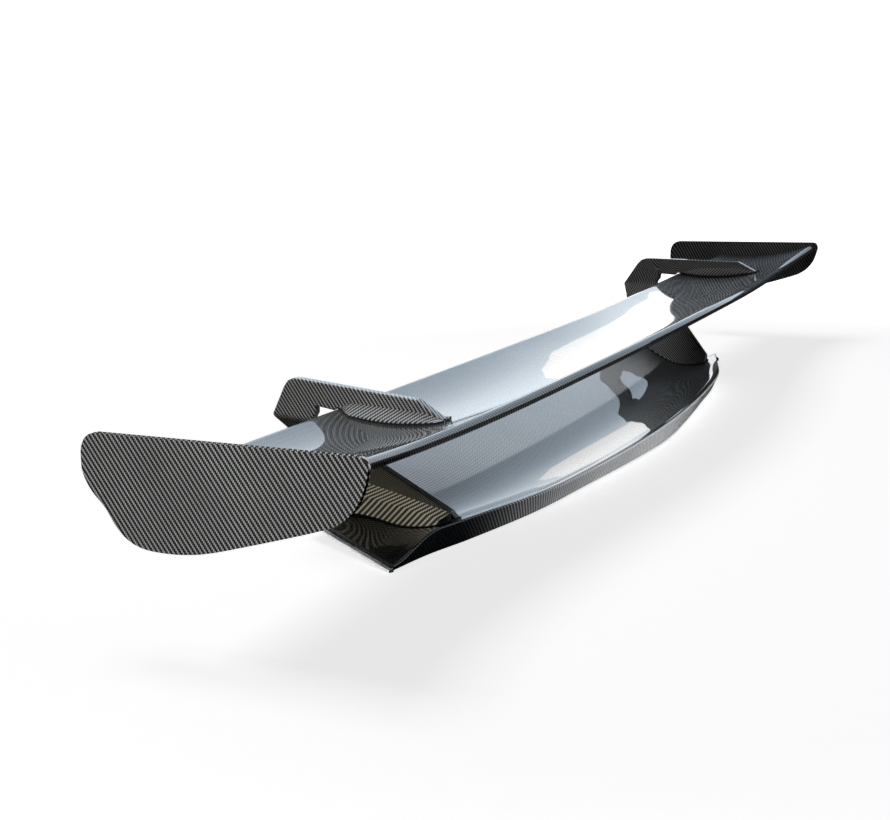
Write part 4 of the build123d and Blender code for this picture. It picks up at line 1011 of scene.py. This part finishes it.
spot("warm", (-1.2, 1.4, 0.9), (-0.42, 0.03, 0.045), 270.0, (1.0, 0.89, 0.68), 16.0, ["left_pylon_foot"])
spot("lip", (0.85, -2.1, 0.02), (0.06, -0.12, 0.02), 1700.0, (1.0, 1.0, 1.0), 19.0, ["base_cover"])
bpy.data.lights["lip"].shadow_soft_size = 0.015
spot("edge", (-1.6, 0.9, 0.12), (-0.47, 0.06, 0.005), 85.0, (1.0, 1.0, 1.0), 20.0, ["left_seal"])
soft = bpy.data.collections.new("top_lights")
for o in scene.objects:
    if o.type == "MESH" and o.name not in ("wing_top", "base_cover"):
        soft.objects.link(o)
bpy.data.objects["top"].light_linking.receiver_collection = soft

world = bpy.data.worlds.new("studio")
scene.world = world
world.cycles_visibility.diffuse = False
world.use_nodes = True
nt = world.node_tree
nt.nodes.clear()
wo = nt.nodes.new("ShaderNodeOutputWorld")
tc = nt.nodes.new("ShaderNodeTexCoord")
sep = nt.nodes.new("ShaderNodeSeparateXYZ")
nt.links.new(tc.outputs["Generated"], sep.inputs[0])


def ramp(value, a, b, lo, hi):
    nd = nt.nodes.new("ShaderNodeMapRange")
    nd.interpolation_type = "SMOOTHSTEP"
    nt.links.new(value, nd.inputs[0])
    for i, q in zip((1, 2, 3, 4), (a, b, lo, hi)):
        nd.inputs[i].default_value = q
    return nd.outputs[0]


above = ramp(sep.outputs[2], -0.02, 0.02, 0.0, 1.0)
east = ramp(sep.outputs[0], 0.05, 0.55, 0.0, 1.0)
height = ramp(sep.outputs[2], 0.12, 0.36, 1.35, 0.95)
sky = math_node(nt, "MULTIPLY", math_node(nt, "MULTIPLY", above, east), height)
cl = nt.nodes.new("ShaderNodeTexNoise")
cl.inputs["Scale"].default_value = 7.0
cl.inputs["Detail"].default_value = 5.0
nt.links.new(tc.outputs["Generated"], cl.inputs["Vector"])
cloud = math_node(nt, "ADD", math_node(nt, "MULTIPLY", cl.outputs[0], 0.30), 0.85)
sky = math_node(nt, "MULTIPLY", sky, cloud)
west = math_node(nt, "MULTIPLY", math_node(nt, "MULTIPLY", above, math_node(nt, "SUBTRACT", 1.0, east)), 0.22)
bg1 = nt.nodes.new("ShaderNodeBackground")
tint = ramp(sep.outputs[2], 0.12, 0.36, 0.0, 1.0)
nt.links.new(mix_rgb(nt, tint, (0.90, 1.0, 1.09), (0.83, 1.0, 1.17)), bg1.inputs["Color"])
nt.links.new(sky, bg1.inputs["Strength"])
bg2 = nt.nodes.new("ShaderNodeBackground")
bg2.inputs["Color"].default_value = (1.0, 0.98, 0.95, 1)
nt.links.new(west, bg2.inputs["Strength"])
ad = nt.nodes.new("ShaderNodeAddShader")
nt.links.new(bg1.outputs[0], ad.inputs[0])
nt.links.new(bg2.outputs[0], ad.inputs[1])
seen = nt.nodes.new("ShaderNodeBackground")
seen.inputs["Color"].default_value = (1, 1, 1, 1)
seen.inputs["Strength"].default_value = 1.1
lp = nt.nodes.new("ShaderNodeLightPath")
mx = nt.nodes.new("ShaderNodeMixShader")
nt.links.new(lp.outputs["Is Camera Ray"], mx.inputs[0])
nt.links.new(ad.outputs[0], mx.inputs[1])
nt.links.new(seen.outputs[0], mx.inputs[2])
nt.links.new(mx.outputs[0], wo.inputs["Surface"])
